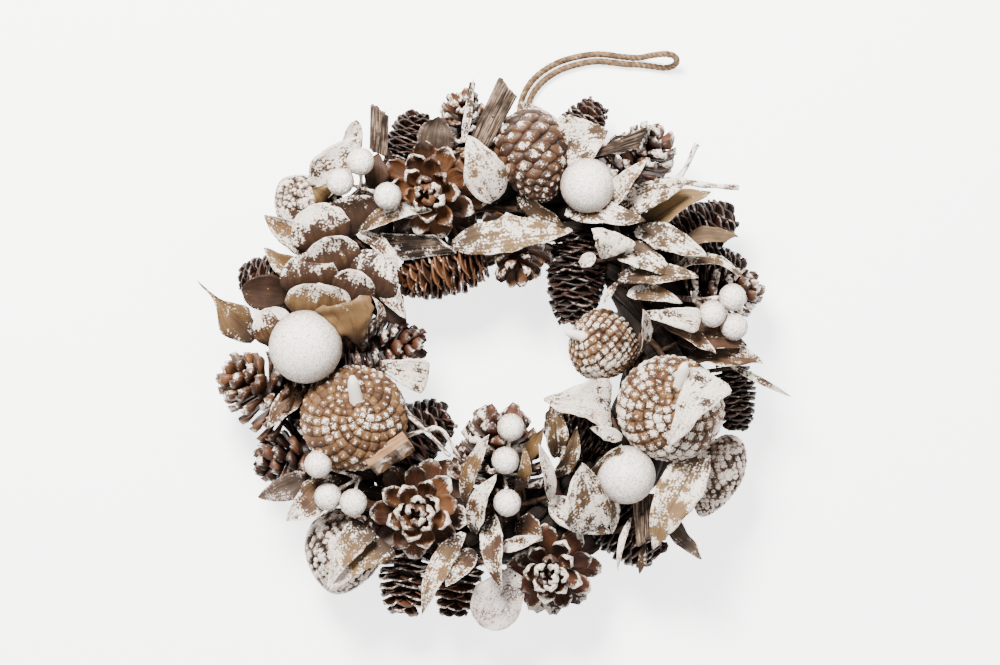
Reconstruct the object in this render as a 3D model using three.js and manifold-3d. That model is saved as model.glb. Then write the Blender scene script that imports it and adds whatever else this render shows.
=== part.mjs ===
// Snow-covered cone wreath, lying on its back. Millimetres, +Z up.
// The origin is the middle of the wreath on the surface it lies on, and +Y is the top of the wreath.
import * as THREE from 'three';
import { mergeVertices } from 'three/addons/utils/BufferGeometryUtils.js';
import Module from 'manifold-3d';

const wasm = await Module();
wasm.setup();
const { Manifold, Mesh: SolidMesh } = wasm;

// Driving dimensions of the base ring
const RING_RADIUS = 96;
const RING_TUBE = 22;
const RING_HEIGHT = 20;
const RING_AROUND = 32;
const RING_SECTION = 9;
const RING_RIDGE = 1.1;
const RING_RIDGES = 4;
const RING_TWISTS = 9;
const RING_FLAT_BELOW = 4;

// Driving dimensions of the trimmings
const GAP = 0.32;
const BERRY_RADIUS = 7.5;
const BERRY_STEM = 1.1;
const BERRY_ROOT = 1.6;
const BAUBLE_PEG = 2.2;
const SLAB_PEG = 2;
const LEAF_HALF_THICKNESS = 0.85;
const LEAF_STEM = 1.8;
const PETIOLE_HALF_WIDTH = 1.4;
const NARROW_BELOW = 16;
const STALK_RADIUS = 3;
const TWINE_DIAMETER = 3.5;
const TWINE_SIDES = 7;
const TWINE_STEPS = 32;
const GOLDEN_ANGLE = Math.PI * (3 - Math.sqrt(5));

// Driving dimensions of the cones: shares of a cone's radius or height, and angles in degrees
const SCALE_BELLY = 0.74;
const SCALE_RISE_AT_FOOT = -12;
const SCALE_RISE_AT_TIP = 68;
const SCALE_REACH = 0.94;
const SCALE_REACH_LOSS = 0.5;
const SCALE_ROOT = 0.16;
const OPEN_CORE = [[0, 0], [0.3, 0.04], [0.34, 0.3], [0.22, 0.7], [0, 0.9]];
const OPEN_CORE_SIDES = 7;
const OPEN_GUARD = [[0, -0.04], [0.6, -0.03], [1.14, 0.05], [1.14, 0.42], [0.86, 0.86], [0.45, 1.12], [0, 1.18]];
const GUARD_SIDES = 12;
const GUARD_ROWS = 7;
const ROUND_GROWTH = 1.1;

const UP = new THREE.Vector3(0, 0, 1);
const AXIS_Y = new THREE.Vector3(0, 1, 0);

// Finishes
const FINISHES = {
  vine: { color: 0x3b2a1e, roughness: 0.95 },
  brownScale: { color: 0x6b3a22, roughness: 0.8 },
  darkScale: { color: 0x2f1c14, roughness: 0.85 },
  tanScale: { color: 0xa9794a, roughness: 0.85 },
  paleScale: { color: 0xb9a894, roughness: 0.9 },
  washedLeaf: { color: 0xd9d2c6, roughness: 0.85 },
  tanLeaf: { color: 0xa98f62, roughness: 0.8 },
  greyLeaf: { color: 0xa8a19a, roughness: 0.85 },
  bark: { color: 0x8a7460, roughness: 0.95 },
  splitWood: { color: 0xc49a66, roughness: 0.85 },
  twig: { color: 0xcbbcae, roughness: 0.9 },
  glitter: { color: 0xf1ebe4, roughness: 0.6 },
  jute: { color: 0xa98458, roughness: 0.95 },
};

const point = ([x, y, z]) => new THREE.Vector3(x, y, z);

// A place on the ring's surface, by clock angle and by lean: -90 is the hole's side, 90 the outside
function seat(angle, lean, lift = 0) {
  const around = THREE.MathUtils.degToRad(angle);
  const over = THREE.MathUtils.degToRad(lean);
  const reach = RING_RADIUS + (RING_TUBE + lift) * Math.sin(over);
  const height = RING_HEIGHT + (RING_TUBE + lift) * Math.cos(over);
  return [reach * Math.cos(around), reach * Math.sin(around), height];
}

// A closed three.js geometry as a solid, turned the right way out
function solidOf(geometry) {
  const bare = geometry.index ? geometry.clone() : geometry;
  bare.deleteAttribute('normal');
  bare.deleteAttribute('uv');
  const merged = mergeVertices(bare, 1e-4);
  const place = merged.getAttribute('position');
  const index = Array.from(merged.getIndex().array);
  const corner = (i) => new THREE.Vector3().fromBufferAttribute(place, i);
  const faces = [];
  let volume = 0;
  for (let i = 0; i < index.length; i += 3) {
    const [a, b, c] = [index[i], index[i + 1], index[i + 2]];
    if (a === b || b === c || a === c) continue;
    faces.push([a, b, c]);
    volume += corner(a).dot(corner(b).cross(corner(c)));
  }
  const turned = volume < 0 ? faces.map(([a, b, c]) => [a, c, b]) : faces;
  return new Manifold(new SolidMesh({
    numProp: 3,
    vertProperties: Float32Array.from(place.array),
    triVerts: Uint32Array.from(turned.flat()),
  }));
}

// A closed shell of named corners as a solid
function shellOf(corners, faces) {
  const geometry = new THREE.BufferGeometry();
  geometry.setAttribute('position', new THREE.Float32BufferAttribute(corners.flatMap((c) => c.toArray()), 3));
  geometry.setIndex(faces.flat());
  return solidOf(geometry);
}

// Moves a geometry made along +Y so that it runs from foot towards tip
function alongAxis(geometry, foot, tip) {
  const direction = tip.clone().sub(foot).normalize();
  const turn = new THREE.Quaternion().setFromUnitVectors(AXIS_Y, direction);
  return geometry.applyQuaternion(turn).translate(foot.x, foot.y, foot.z);
}

const join = (solids) => Manifold.union(solids);

// A round stick along a smooth route, with closed ends
function stick(route, radius, sides = 4, stepsPerSpan = 1) {
  const points = route.map(point);
  const path = points.length === 2
    ? new THREE.LineCurve3(points[0], points[1])
    : new THREE.CatmullRomCurve3(points);
  const outline = new THREE.Shape();
  for (let i = 0; i < sides; i += 1) {
    const angle = (2 * Math.PI * i) / sides;
    const [x, y] = [radius * Math.cos(angle), radius * Math.sin(angle)];
    if (i === 0) outline.moveTo(x, y);
    else outline.lineTo(x, y);
  }
  outline.closePath();
  const steps = points.length === 2 ? 1 : stepsPerSpan * (points.length - 1);
  return solidOf(new THREE.ExtrudeGeometry(outline, { steps, extrudePath: path, bevelEnabled: false }));
}

function ball(centre, radius, detail = 1) {
  return solidOf(new THREE.IcosahedronGeometry(radius, detail).translate(...centre));
}

// A cone scale: a kite from root to end, with its widest part and a raised knob near its end
function scale(root, end, width, thickness, up) {
  const forward = end.clone().sub(root).normalize();
  const side = new THREE.Vector3().crossVectors(up, forward).normalize();
  const middle = root.clone().lerp(end, SCALE_BELLY);
  return shellOf([
    root,
    middle.clone().addScaledVector(side, width / 2),
    end,
    middle.clone().addScaledVector(side, -width / 2),
    middle.clone().addScaledVector(up, thickness),
  ], [[0, 1, 4], [1, 2, 4], [2, 3, 4], [3, 0, 4], [0, 3, 1], [1, 3, 2]]);
}

// An open cone: scales in a golden-angle spiral that stand out of a slim core
function openCone({ foot, tip, radius, scales, turn = 0 }) {
  const [start, end] = [point(foot), point(tip)];
  const axis = end.clone().sub(start);
  const height = axis.length();
  axis.normalize();
  const turnTo = new THREE.Quaternion().setFromUnitVectors(AXIS_Y, axis);
  const coreProfile = OPEN_CORE.map(([r, h]) => new THREE.Vector2(r * radius, h * height));
  const parts = [solidOf(alongAxis(new THREE.LatheGeometry(coreProfile, OPEN_CORE_SIDES), start, end))];
  for (let i = 0; i < scales; i += 1) {
    const t = (i + 0.5) / scales;
    const angle = i * GOLDEN_ANGLE + turn;
    const rise = THREE.MathUtils.degToRad(THREE.MathUtils.lerp(SCALE_RISE_AT_FOOT, SCALE_RISE_AT_TIP, t ** 0.8));
    const reach = radius * (SCALE_REACH - SCALE_REACH_LOSS * t ** 1.6);
    const rootHeight = height * (0.1 + 0.68 * t);
    const out = new THREE.Vector3(Math.cos(angle), 0, Math.sin(angle)).applyQuaternion(turnTo);
    const root = start.clone().addScaledVector(axis, rootHeight).addScaledVector(out, radius * SCALE_ROOT);
    const length = reach * (1 - 0.3 * t);
    const tipPoint = root.clone()
      .addScaledVector(out, length * Math.cos(rise))
      .addScaledVector(axis, length * Math.sin(rise));
    const up = axis.clone().multiplyScalar(Math.cos(rise)).addScaledVector(out, -Math.sin(rise));
    parts.push(scale(root, tipPoint, radius * (0.86 - 0.42 * t), radius * (0.22 - 0.06 * t), up));
  }
  return join(parts);
}

// The smooth shape that an open cone's scales stay inside
function openConeGuard({ foot, tip, radius }) {
  const [start, end] = [point(foot), point(tip)];
  const height = end.clone().sub(start).length();
  const profile = OPEN_GUARD.map(([r, h]) => new THREE.Vector2(r * radius, h * height));
  return solidOf(alongAxis(new THREE.LatheGeometry(profile, GUARD_SIDES), start, end));
}

// How the width of a closed or packed cone runs from its foot, 0, to its tip, 1
const coneWidth = (t, fullness) => Math.sin(Math.PI * t ** 0.8) ** fullness;

// A closed or tightly packed cone: one body whose scales are raised by formula, row by row
function knobbedCone({ foot, tip, radius, around, rows, relief, lean, fullness = 0.6 }) {
  const [start, end] = [point(foot), point(tip)];
  const height = end.clone().sub(start).length();
  const profile = [];
  for (let j = 0; j <= rows; j += 1) {
    const t = j / rows;
    profile.push(new THREE.Vector2(j === 0 || j === rows ? 0 : radius * coneWidth(t, fullness), t * height));
  }
  const geometry = new THREE.LatheGeometry(profile, around);
  const place = geometry.getAttribute('position');
  for (let i = 0; i < place.count; i += 1) {
    const row = i % (rows + 1);
    const column = Math.floor(i / (rows + 1)) % around;
    if (row === 0 || row === rows) continue;
    const raised = (row + column) % 2 === 0;
    const [x, y, z] = [place.getX(i), place.getY(i), place.getZ(i)];
    const r = Math.hypot(x, z);
    const grown = raised ? r : Math.max(r - relief, 0.4 * r);
    const along = raised ? lean * height / rows : 0;
    place.setXYZ(i, x * grown / r, y + along, z * grown / r);
  }
  return solidOf(alongAxis(geometry, start, end));
}

function knobbedConeGuard({ foot, tip, radius, rows, lean, fullness = 0.6 }) {
  const [start, end] = [point(foot), point(tip)];
  const height = end.clone().sub(start).length();
  const profile = [new THREE.Vector2(0, -GAP)];
  for (let j = 0; j <= GUARD_ROWS; j += 1) {
    const t = j / GUARD_ROWS;
    const r = (radius * coneWidth(Math.min(Math.max(t, 0.03), 0.97), fullness) + GAP) * 1.08;
    profile.push(new THREE.Vector2(r, t * height + (j === 0 ? -GAP : (j === GUARD_ROWS ? GAP : 0))));
  }
  profile.push(new THREE.Vector2(0, height * (1 + lean / rows) + GAP));
  return solidOf(alongAxis(new THREE.LatheGeometry(profile, GUARD_SIDES), start, end));
}

// A thin arched blade: a petiole from its stem, then base to tip, split into triangles alike on both faces
const BLADE_STATIONS = [[0.02, 0.28], [0.34, 1], [0.7, 0.84]];
const NARROW_STATIONS = [[0.06, 0.6], [0.5, 1]];
function blade(stemPoint, { base, tip, width, roll = 0, cup = 0.25, bow = 0.12, blunt = 0 }, grow = 0) {
  const [start, end] = [point(base), point(tip)];
  const forward = end.clone().sub(start);
  const length = forward.length();
  forward.normalize();
  const side = new THREE.Vector3().crossVectors(UP, forward).normalize()
    .applyAxisAngle(forward, THREE.MathUtils.degToRad(roll));
  const normal = new THREE.Vector3().crossVectors(forward, side).normalize();
  const half = LEAF_HALF_THICKNESS + grow;
  const rings = [];
  const addRing = (centre, halfWidth, thickness, lift, face = normal) => {
    const at = (across, over) => centre.clone().addScaledVector(side, across).addScaledVector(face, over);
    const edge = halfWidth + grow;
    rings.push(grow > 0
      ? [at(edge, lift + grow), at(0, thickness), at(-edge, lift + grow),
        at(-edge, lift - grow), at(0, -thickness), at(edge, lift - grow)]
      : [at(edge, lift), at(0, thickness), at(-edge, lift), at(0, -thickness)]);
  };
  const petiole = start.clone().sub(stemPoint).normalize();
  addRing(stemPoint.clone(), PETIOLE_HALF_WIDTH, half, 0, new THREE.Vector3().crossVectors(petiole, side).normalize());
  for (const [t, share] of width < NARROW_BELOW ? NARROW_STATIONS : BLADE_STATIONS) {
    const centre = start.clone().addScaledVector(forward, t * length)
      .addScaledVector(normal, 4 * bow * length * t * (1 - t));
    addRing(centre, share * width / 2, half, cup * share * width / 2);
  }
  const sharp = blunt === 0 && grow === 0;
  if (!sharp) addRing(end.clone().addScaledVector(forward, grow), blunt * width / 2, blunt > 0 ? half : 1.5 * grow, 0);
  return bladeSolid(rings, sharp ? end : null);
}

function bladeSolid(rings, tail) {
  const corners = rings.flat();
  const faces = [];
  const quad = (a, b, c, d) => faces.push([a, b, c], [a, c, d]);
  const count = rings[0].length;
  const onRidge = (i) => i % (count / 2) === 1;
  for (let k = 0; k < rings.length - 1; k += 1) {
    for (let i = 0; i < count; i += 1) {
      const j = (i + 1) % count;
      const [a, b] = [count * k + i, count * k + j];
      if (onRidge(i)) quad(b, b + count, a + count, a);
      else quad(a, b, b + count, a + count);
    }
  }
  const last = count * (rings.length - 1);
  if (tail) corners.push(tail);
  for (let i = 0; i < count; i += 1) {
    const j = (i + 1) % count;
    if (i > 0 && i < count - 1) faces.push([0, i, i + 1]);
    if (tail) faces.push([last + i, last + j, corners.length - 1]);
    else if (i > 0 && i < count - 1) faces.push([last, last + i, last + i + 1]);
  }
  return shellOf(corners, consistent(faces));
}

// Makes every face of a small closed shell run the same way round as its first face
function consistent(faces) {
  const done = [faces[0]];
  const waiting = faces.slice(1);
  const edges = new Set();
  const addEdges = ([a, b, c]) => [[a, b], [b, c], [c, a]].forEach(([p, q]) => edges.add(`${p}_${q}`));
  addEdges(faces[0]);
  while (waiting.length) {
    const found = waiting.findIndex(([a, b, c]) => [[a, b], [b, c], [c, a]]
      .some(([p, q]) => edges.has(`${p}_${q}`) || edges.has(`${q}_${p}`)));
    const [a, b, c] = waiting.splice(found, 1)[0];
    const clash = [[a, b], [b, c], [c, a]].some(([p, q]) => edges.has(`${p}_${q}`));
    const face = clash ? [a, c, b] : [a, b, c];
    addEdges(face);
    done.push(face);
  }
  return done;
}

// The point of a stem that a leaf grows from
function nearestOnStems(stems, base) {
  const goal = point(base);
  let best = null;
  for (const stem of stems) {
    const points = stem.map(point);
    for (let i = 0; i < points.length - 1; i += 1) {
      const near = new THREE.Line3(points[i], points[i + 1])
        .closestPointToPoint(goal, true, new THREE.Vector3());
      if (!best || near.distanceTo(goal) < best.distanceTo(goal)) best = near;
    }
  }
  return best;
}

// A spray of leaves: its stems, with a leaf blade from each leaf's nearest stem point
function leafSpray({ stems, leaves }, grow = 0) {
  const parts = stems.map((stem) => stick(stem, LEAF_STEM + grow));
  for (const leaf of leaves) parts.push(blade(nearestOnStems(stems, leaf.base), leaf, grow));
  return join(parts);
}

// A spray of berries: each on a thin stem from one knot, which is rooted on the ring
function berrySpray({ root, knot, berries }, grow = 0) {
  const parts = [stick([root, knot], BERRY_ROOT + grow, 5)];
  for (const berry of berries) {
    parts.push(stick([knot, berry], BERRY_STEM + grow));
    parts.push(ball(berry, BERRY_RADIUS + ROUND_GROWTH * grow));
  }
  return join(parts);
}

function bauble({ centre, radius, root }, grow = 0) {
  return join([ball(centre, radius + ROUND_GROWTH * grow, 2), stick([root, centre], BAUBLE_PEG + grow, 6)]);
}

// A flat piece of bark or wood: an outline of real points with a thickness, on a peg from the ring
function slab({ corners, thickness, root }, grow = 0) {
  const points = corners.map(point);
  const middle = points.reduce((sum, p) => sum.add(p), new THREE.Vector3()).divideScalar(points.length);
  const normal = new THREE.Vector3().crossVectors(
    points[1].clone().sub(points[0]), points[2].clone().sub(points[0])).normalize();
  if (normal.z < 0) normal.negate();
  const half = thickness / 2 + grow;
  const top = [];
  const bottom = [];
  for (const p of points) {
    const out = p.clone().sub(middle).setLength(grow * 1.5);
    top.push(p.clone().add(out).addScaledVector(normal, half));
    bottom.push(p.clone().add(out).addScaledVector(normal, -half));
  }
  const n = points.length;
  const list = [...top, ...bottom];
  const faces = [];
  for (let i = 0; i < n; i += 1) {
    const j = (i + 1) % n;
    faces.push([i, j, n + j], [i, n + j, n + i]);
    if (i > 0 && i < n - 1) faces.push([0, i, i + 1], [n, n + i, n + i + 1]);
  }
  return join([shellOf(list, consistent(faces)), stick([root, middle.toArray()], SLAB_PEG + grow, 6)]);
}

function twigs({ branches }, grow = 0) {
  return join(branches.map(({ route, radius }) => stick(route, radius + grow)));
}

// The base ring: a bundle of vines, with shallow twisted ridges and a flat back
function baseRing(grow = 0) {
  const geometry = new THREE.TorusGeometry(RING_RADIUS, RING_TUBE, RING_SECTION, RING_AROUND);
  const place = geometry.getAttribute('position');
  for (let i = 0; i < place.count; i += 1) {
    const column = i % (RING_AROUND + 1);
    const row = Math.floor(i / (RING_AROUND + 1));
    const around = (2 * Math.PI * (column % RING_AROUND)) / RING_AROUND;
    const over = (2 * Math.PI * (row % RING_SECTION)) / RING_SECTION;
    const ridge = RING_RIDGE * Math.cos(RING_RIDGES * over + RING_TWISTS * around);
    const tube = RING_TUBE + ridge + grow;
    const reach = RING_RADIUS + tube * Math.cos(over);
    const height = RING_HEIGHT + tube * Math.sin(over);
    const floor = height < RING_FLAT_BELOW ? -grow : height;
    place.setXYZ(i, reach * Math.cos(around), reach * Math.sin(around), floor);
  }
  return solidOf(geometry);
}

// The hanging loop of jute twine, laid out beside the wreath, from the ring round its end and back
const TWINE_ROUTE = [
  [13, 108, 10], [16, 128, 4.2], [18.5, 143, 2], [24.5, 153.5, 2], [35, 161.5, 2], [47, 166, 2],
  [61, 168, 2], [76, 166.4, 2], [84, 165.9, 4], [91, 166.8, 9.5], [98, 167.3, 14], [103, 166.3, 12.3],
  [105, 163.8, 8.1], [103, 161.3, 3.8], [98, 160.3, 2], [91, 161.2, 2], [84, 162, 2], [76, 162.4, 2],
  [61, 163.9, 2], [48.5, 161.9, 2], [37.5, 157.8, 2], [28.3, 150.8, 2], [22.6, 141.5, 2], [20.2, 128, 4.2],
  [18, 108, 10],
];
const twine = (grow = 0) => stick(TWINE_ROUTE, TWINE_DIAMETER / 2 + grow, TWINE_SIDES,
  TWINE_STEPS / (TWINE_ROUTE.length - 1));

// Glitter baubles and berry sprays
const BAUBLES = {
  bauble_large: { centre: [-100, 4, 64], radius: 20, root: seat(177, 8, -4) },
  bauble_upper: { centre: [54, 92, 62], radius: 15, root: seat(58, 12, -4) },
  bauble_lower: { centre: [75, -66, 60], radius: 16, root: seat(-42, 8, -4) },
};
const BERRIES = {
  berries_upper_left: {
    root: seat(128, 10, -3), knot: [-70, 91, 54],
    berries: [[-70, 105, 66], [-81, 94, 65], [-55, 86, 72]],
  },
  berries_right: {
    root: seat(18, 18, -3), knot: [112, 30, 48],
    berries: [[133, 31, 61], [122, 22, 63], [134, 15, 59]],
  },
  berries_lower_left: {
    root: seat(-136, 10, -3), knot: [-72, -68, 48],
    berries: [[-93, -59, 60], [-88, -78, 60], [-74, -81, 63]],
  },
  berries_bottom: {
    root: seat(-84, -25, -3), knot: [9, -66, 50],
    berries: [[12, -40, 62], [9, -58, 65], [10, -81, 66]],
  },
};

// Leaf sprays. Each leaf runs from base to tip; roll turns its face, cup lifts its edges, bow arches it.
const LEAVES = {
  leaves_left: {
    finish: 'tanLeaf',
    stems: [
      [[-68, 76, 42], [-76, 66, 48], [-86, 55, 50], [-91, 34, 51], [-88, 20, 54], [-80, 8, 56]],
      [[-88, 46, 50], [-72, 32, 50], [-61, 22, 48]],
      [[-90, 38, 50], [-90, 36, 38]],
    ],
    leaves: [
      { base: [-75, 68, 48], tip: [-76, 90, 66], width: 33, cup: -0.3, blunt: 0.5 },
      { base: [-86, 57, 50], tip: [-98, 77, 66], width: 25, cup: -0.3, blunt: 0.5 },
      { base: [-85, 44, 52], tip: [-92, 64, 68], width: 24, cup: -0.3, blunt: 0.5 },
      { base: [-95, 33, 50], tip: [-102, 53, 65], width: 26, cup: -0.3, blunt: 0.5 },
      { base: [-90, 22, 56], tip: [-94, 39, 72], width: 32, cup: -0.3, blunt: 0.5 },
      { base: [-60, 30, 50], tip: [-64, 54, 68], width: 25, roll: -15, cup: -0.3, blunt: 0.4 },
      { base: [-72, 8, 60], tip: [-78, 31, 78], width: 28, roll: -10, cup: -0.1, blunt: 0.6 },
      { base: [-62, 12, 50], tip: [-62, 31, 62], width: 9, roll: 60 },
      { base: [-90, 56, 46], tip: [-123, 77, 52], width: 14, roll: -15, cup: 0.2 },
      { base: [-71, 68, 56], tip: [-32, 80, 64], width: 13, roll: -35, cup: 0.3 },
      { base: [-60, 52, 50], tip: [-47, 28, 56], width: 13, roll: 40, cup: 0.3 },
    ],
  },
  leaves_upper_left: {
    finish: 'washedLeaf',
    stems: [[seat(132, 36, 1), seat(134, 60, 2), [-88, 98, 40]]],
    leaves: [
      { base: [-88, 94, 42], tip: [-72, 120, 54], width: 19, roll: -10 },
      { base: [-88, 84, 46], tip: [-96, 90, 58], width: 16, cup: 0.2 },
      { base: [-80, 108, 44], tip: [-74, 130, 58], width: 7, blunt: 0.7 },
    ],
  },
  leaves_top: {
    finish: 'washedLeaf',
    stems: [
      [seat(108, -42, 1), seat(90, -42, 1), seat(74, -36, 1)],
      [seat(92, -42, 1), seat(94, 0, 1.5), seat(97, 42, 1.5), [-12, 128, 46], [-9, 149, 50]],
    ],
    leaves: [
      { base: [3, 84, 52], tip: [-11, 118, 68], width: 24, roll: 12, cup: 0.1 },
      { base: [16, 88, 46], tip: [43, 72, 54], width: 12, roll: 40 },
      { base: [-20, 60, 48], tip: [45, 69, 58], width: 20, roll: -14, cup: 0.12, bow: 0.05 },
      { base: [-24, 108, 44], tip: [-28, 130, 60], width: 22, cup: 0.1 },
    ],
  },
  leaves_top_right: {
    finish: 'washedLeaf',
    stems: [[seat(68, 38, 1), seat(66, 60, 3), [42, 118, 40]]],
    leaves: [
      { base: [38, 108, 48], tip: [64, 122, 60], width: 28, roll: -10, cup: 0.1 },
    ],
  },
  leaves_right: {
    finish: 'washedLeaf',
    stems: [
      [seat(56, -12, 1), [66, 76, 50], [72, 60, 51], [76, 40, 50], seat(14, -18, 1)],
      [[72, 60, 51], [100, 58, 44], [100, 40, 44]],
    ],
    leaves: [
      { base: [66, 82, 52], tip: [85, 106, 70], width: 15, roll: -50, cup: 0.4 },
      { base: [72, 78, 52], tip: [115, 91, 68], width: 18, roll: -30, cup: 0.2 },
      { base: [84, 70, 48], tip: [120, 88, 60], width: 16, roll: -40, cup: 0.3 },
      { base: [46, 76, 56], tip: [86, 74, 68], width: 15, roll: -25, cup: 0.25 },
      { base: [60, 58, 58], tip: [52, 64, 68], width: 16, cup: 0.1 },
      { base: [80, 68, 54], tip: [119, 52, 66], width: 18, roll: -25, cup: 0.25 },
      { base: [66, 60, 52], tip: [101, 44, 64], width: 16, roll: -25, cup: 0.25 },
      { base: [70, 42, 52], tip: [116, 41, 64], width: 16, roll: -30, cup: 0.25 },
      { base: [72, 32, 52], tip: [104, 30, 62], width: 12, roll: -40, cup: 0.25 },
      { base: [105, 59, 46], tip: [137, 61, 58], width: 13, roll: -48, cup: 0.3 },
      { base: [98, 42, 46], tip: [140, 44, 58], width: 14, roll: -60, cup: 0.4, bow: 0.2 },
    ],
  },
  leaves_right_middle: {
    finish: 'tanLeaf',
    stems: [
      [seat(8, -28, 1), seat(2, -8, 1), seat(-4, 10, 1), seat(-6, 40, 1)],
      [seat(8, -28, 1), seat(-8, -40, 1), seat(-24, -42, 1), [66, -32, 44]],
    ],
    leaves: [
      { base: [84, 0, 50], tip: [84, 25, 64], width: 14, roll: 72 },
      { base: [88, 20, 56], tip: [116, 18, 70], width: 16, roll: -10, cup: 0.1, blunt: 0.5 },
      { base: [92, 18, 50], tip: [123, -2, 62], width: 14, roll: -45 },
      { base: [104, 8, 46], tip: [141, 6, 56], width: 20, roll: -30 },
      { base: [108, -4, 46], tip: [150, -8, 56], width: 22, roll: -50, cup: 0.3 },
      { base: [132, -6, 50], tip: [163, -18, 44], width: 4, cup: 0, bow: 0.05 },
      { base: [116, -3, 72], tip: [100, -53, 75], width: 25, roll: 8, cup: 0.1, bow: 0.2 },
      { base: [68, -24, 48], tip: [32, -25, 62], width: 22, roll: 10, cup: 0.15 },
    ],
  },
  leaves_lower_right: {
    finish: 'washedLeaf',
    stems: [
      [[46, -52, 44], [38, -66, 38], [40, -80, 39], [54, -92, 43], [70, -97, 45], [96, -85, 44], [106, -64, 46]],
      [seat(-60, 10, -3), [54, -92, 43]],
    ],
    leaves: [
      { base: [104, -60, 48], tip: [84, -106, 60], width: 30, roll: 12, cup: 0.15 },
      { base: [56, -66, 50], tip: [72, -47, 62], width: 9, roll: 40 },
      { base: [42, -64, 46], tip: [49, -42, 58], width: 10, roll: 45 },
      { base: [60, -96, 50], tip: [50, -58, 66], width: 17, roll: 35, cup: 0.2 },
      { base: [68, -98, 50], tip: [57, -64, 66], width: 12, roll: 50, cup: 0.2 },
      { base: [39, -56, 44], tip: [31, -26, 56], width: 12, roll: 60, cup: 0.3 },
      { base: [34, -80, 42], tip: [66, -99, 52], width: 17, roll: 15, cup: 0.3 },
      { base: [98, -86, 44], tip: [118, -112, 52], width: 9, roll: 40 },
    ],
  },
  leaves_bottom: {
    finish: 'tanLeaf',
    stems: [[seat(-72, -28, 1), seat(-84, -30, 1), seat(-94, -30, 1), seat(-102, -26, 1)]],
    leaves: [
      { base: [-16, -84, 50], tip: [-1, -44, 66], width: 13, roll: -50, cup: 0.3 },
      { base: [-8, -98, 52], tip: [2, -66, 66], width: 14, roll: -35, cup: 0.2 },
      { base: [16, -76, 48], tip: [20, -52, 60], width: 9, roll: 20, cup: 0.2 },
      { base: [34, -80, 52], tip: [24, -48, 66], width: 9, roll: 70, cup: 0.3 },
      { base: [2, -88, 50], tip: [6, -128, 64], width: 13, roll: 20, cup: 0.2 },
      { base: [16, -92, 46], tip: [30, -102, 54], width: 18, roll: 10, cup: 0.2 },
    ],
  },
  leaves_bottom_outer: {
    finish: 'greyLeaf',
    stems: [[seat(-98, 10, 1), seat(-96, 45, 1)], [seat(-97, 28, 1), seat(-106, 30, 1)]],
    leaves: [
      { base: [8, -122, 42], tip: [-5, -151, 40], width: 26, roll: 6, cup: 0.12, blunt: 0.15 },
      { base: [-14, -98, 50], tip: [-38, -142, 54], width: 12, roll: 30, cup: 0.3 },
      { base: [-8, -108, 48], tip: [-24, -128, 60], width: 12, roll: 10, cup: 0.3 },
    ],
  },
  leaves_lower_left: {
    finish: 'tanLeaf',
    stems: [[seat(-120, 4, 2.2), seat(-126, 24, 3), seat(-138, 40, 3), seat(-150, 42, 2.2)]],
    leaves: [
      { base: [-60, -98, 48], tip: [-85, -131, 58], width: 36, roll: 8, cup: 0.18 },
      { base: [-88, -72, 44], tip: [-109, -92, 54], width: 15, roll: 10, cup: 0.2 },
      { base: [-98, -68, 40], tip: [-127, -79, 44], width: 15, roll: -10, cup: 0.2 },
    ],
  },
  leaves_left_outer: {
    finish: 'greyLeaf',
    stems: [[seat(172, 30, 1), seat(168, 62, 2), [-124, 30, 34]], [seat(168, 62, 2), seat(178, 62, 2)]],
    leaves: [
      { base: [-133, 8, 40], tip: [-160, 41, 44], width: 14, roll: -10, cup: 0.2, bow: 0.1 },
      { base: [-122, 6, 46], tip: [-112, 28, 56], width: 17, roll: -30, cup: -0.3 },
      { base: [-110, 38, 44], tip: [-136, 34, 52], width: 22, roll: -20, cup: 0.2, blunt: 0.6 },
      { base: [-99, -18, 44], tip: [-122, -40, 54], width: 14, roll: 20, cup: 0.3 },
    ],
  },
  leaf_hole_left: {
    finish: 'washedLeaf',
    stems: [[seat(-172, -62, 1), seat(-166, -78, 3)]],
    leaves: [
      { base: [-60, -8, 44], tip: [-32, -4, 56], width: 20, roll: 20, cup: 0.15, blunt: 0.4 },
    ],
  },
};

// Bark strips, split wood and sticks
const SLABS = {
  bark_strip_left: {
    finish: 'bark', thickness: 3.4, root: seat(118, 30, -2),
    corners: [[-65, 136, 58], [-55, 130, 58], [-56, 108, 50], [-66, 112, 50]],
  },
  bark_strip_top: {
    finish: 'bark', thickness: 4, root: seat(93, 30, -2),
    corners: [[5, 151, 60], [15, 140, 60], [0, 113, 52], [-10, 119, 52]],
  },
  bark_slab_hole: {
    finish: 'bark', thickness: 3, root: seat(122, -40, -2),
    corners: [[-60, 66, 52], [-30, 65, 54], [-18, 55, 52], [-48, 51, 48]],
  },
  split_wood: {
    finish: 'splitWood', thickness: 10, root: seat(-140, -35, -2),
    corners: [[-63, -54, 62], [-50, -44, 64], [-41, -50, 62], [-54, -60, 60]],
  },
  bark_wedge: {
    finish: 'bark', thickness: 8, root: seat(56, 45, -2),
    corners: [[52, 108, 50], [88, 124, 54], [84, 112, 54]],
  },
  bark_lower_right: {
    finish: 'bark', thickness: 2.6, root: seat(-46, 20, -2),
    corners: [[79, -80, 50], [93, -82, 50], [92, -98, 46], [82, -106, 44]],
  },
};
const TWIGS = {
  twig_fork_right: {
    finish: 'twig',
    branches: [
      { route: [seat(44, 40, -2), [96, 94, 48], [104, 97, 52], [114, 115, 56]], radius: 1.3 },
      { route: [[104, 97, 52], [110, 94, 54], [137, 91, 54]], radius: 1.3 },
    ],
  },
  twigs_hole_left: {
    finish: 'twig',
    branches: [
      { route: [seat(-142, -45, -2), [-48, -46, 46], [-22, -54, 50]], radius: 1.4 },
      { route: [[-48, -46, 46], [-49, -28, 56]], radius: 1.2 },
      { route: [[-48, -46, 46], [-16, -60, 44]], radius: 1.2 },
    ],
  },
};

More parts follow.
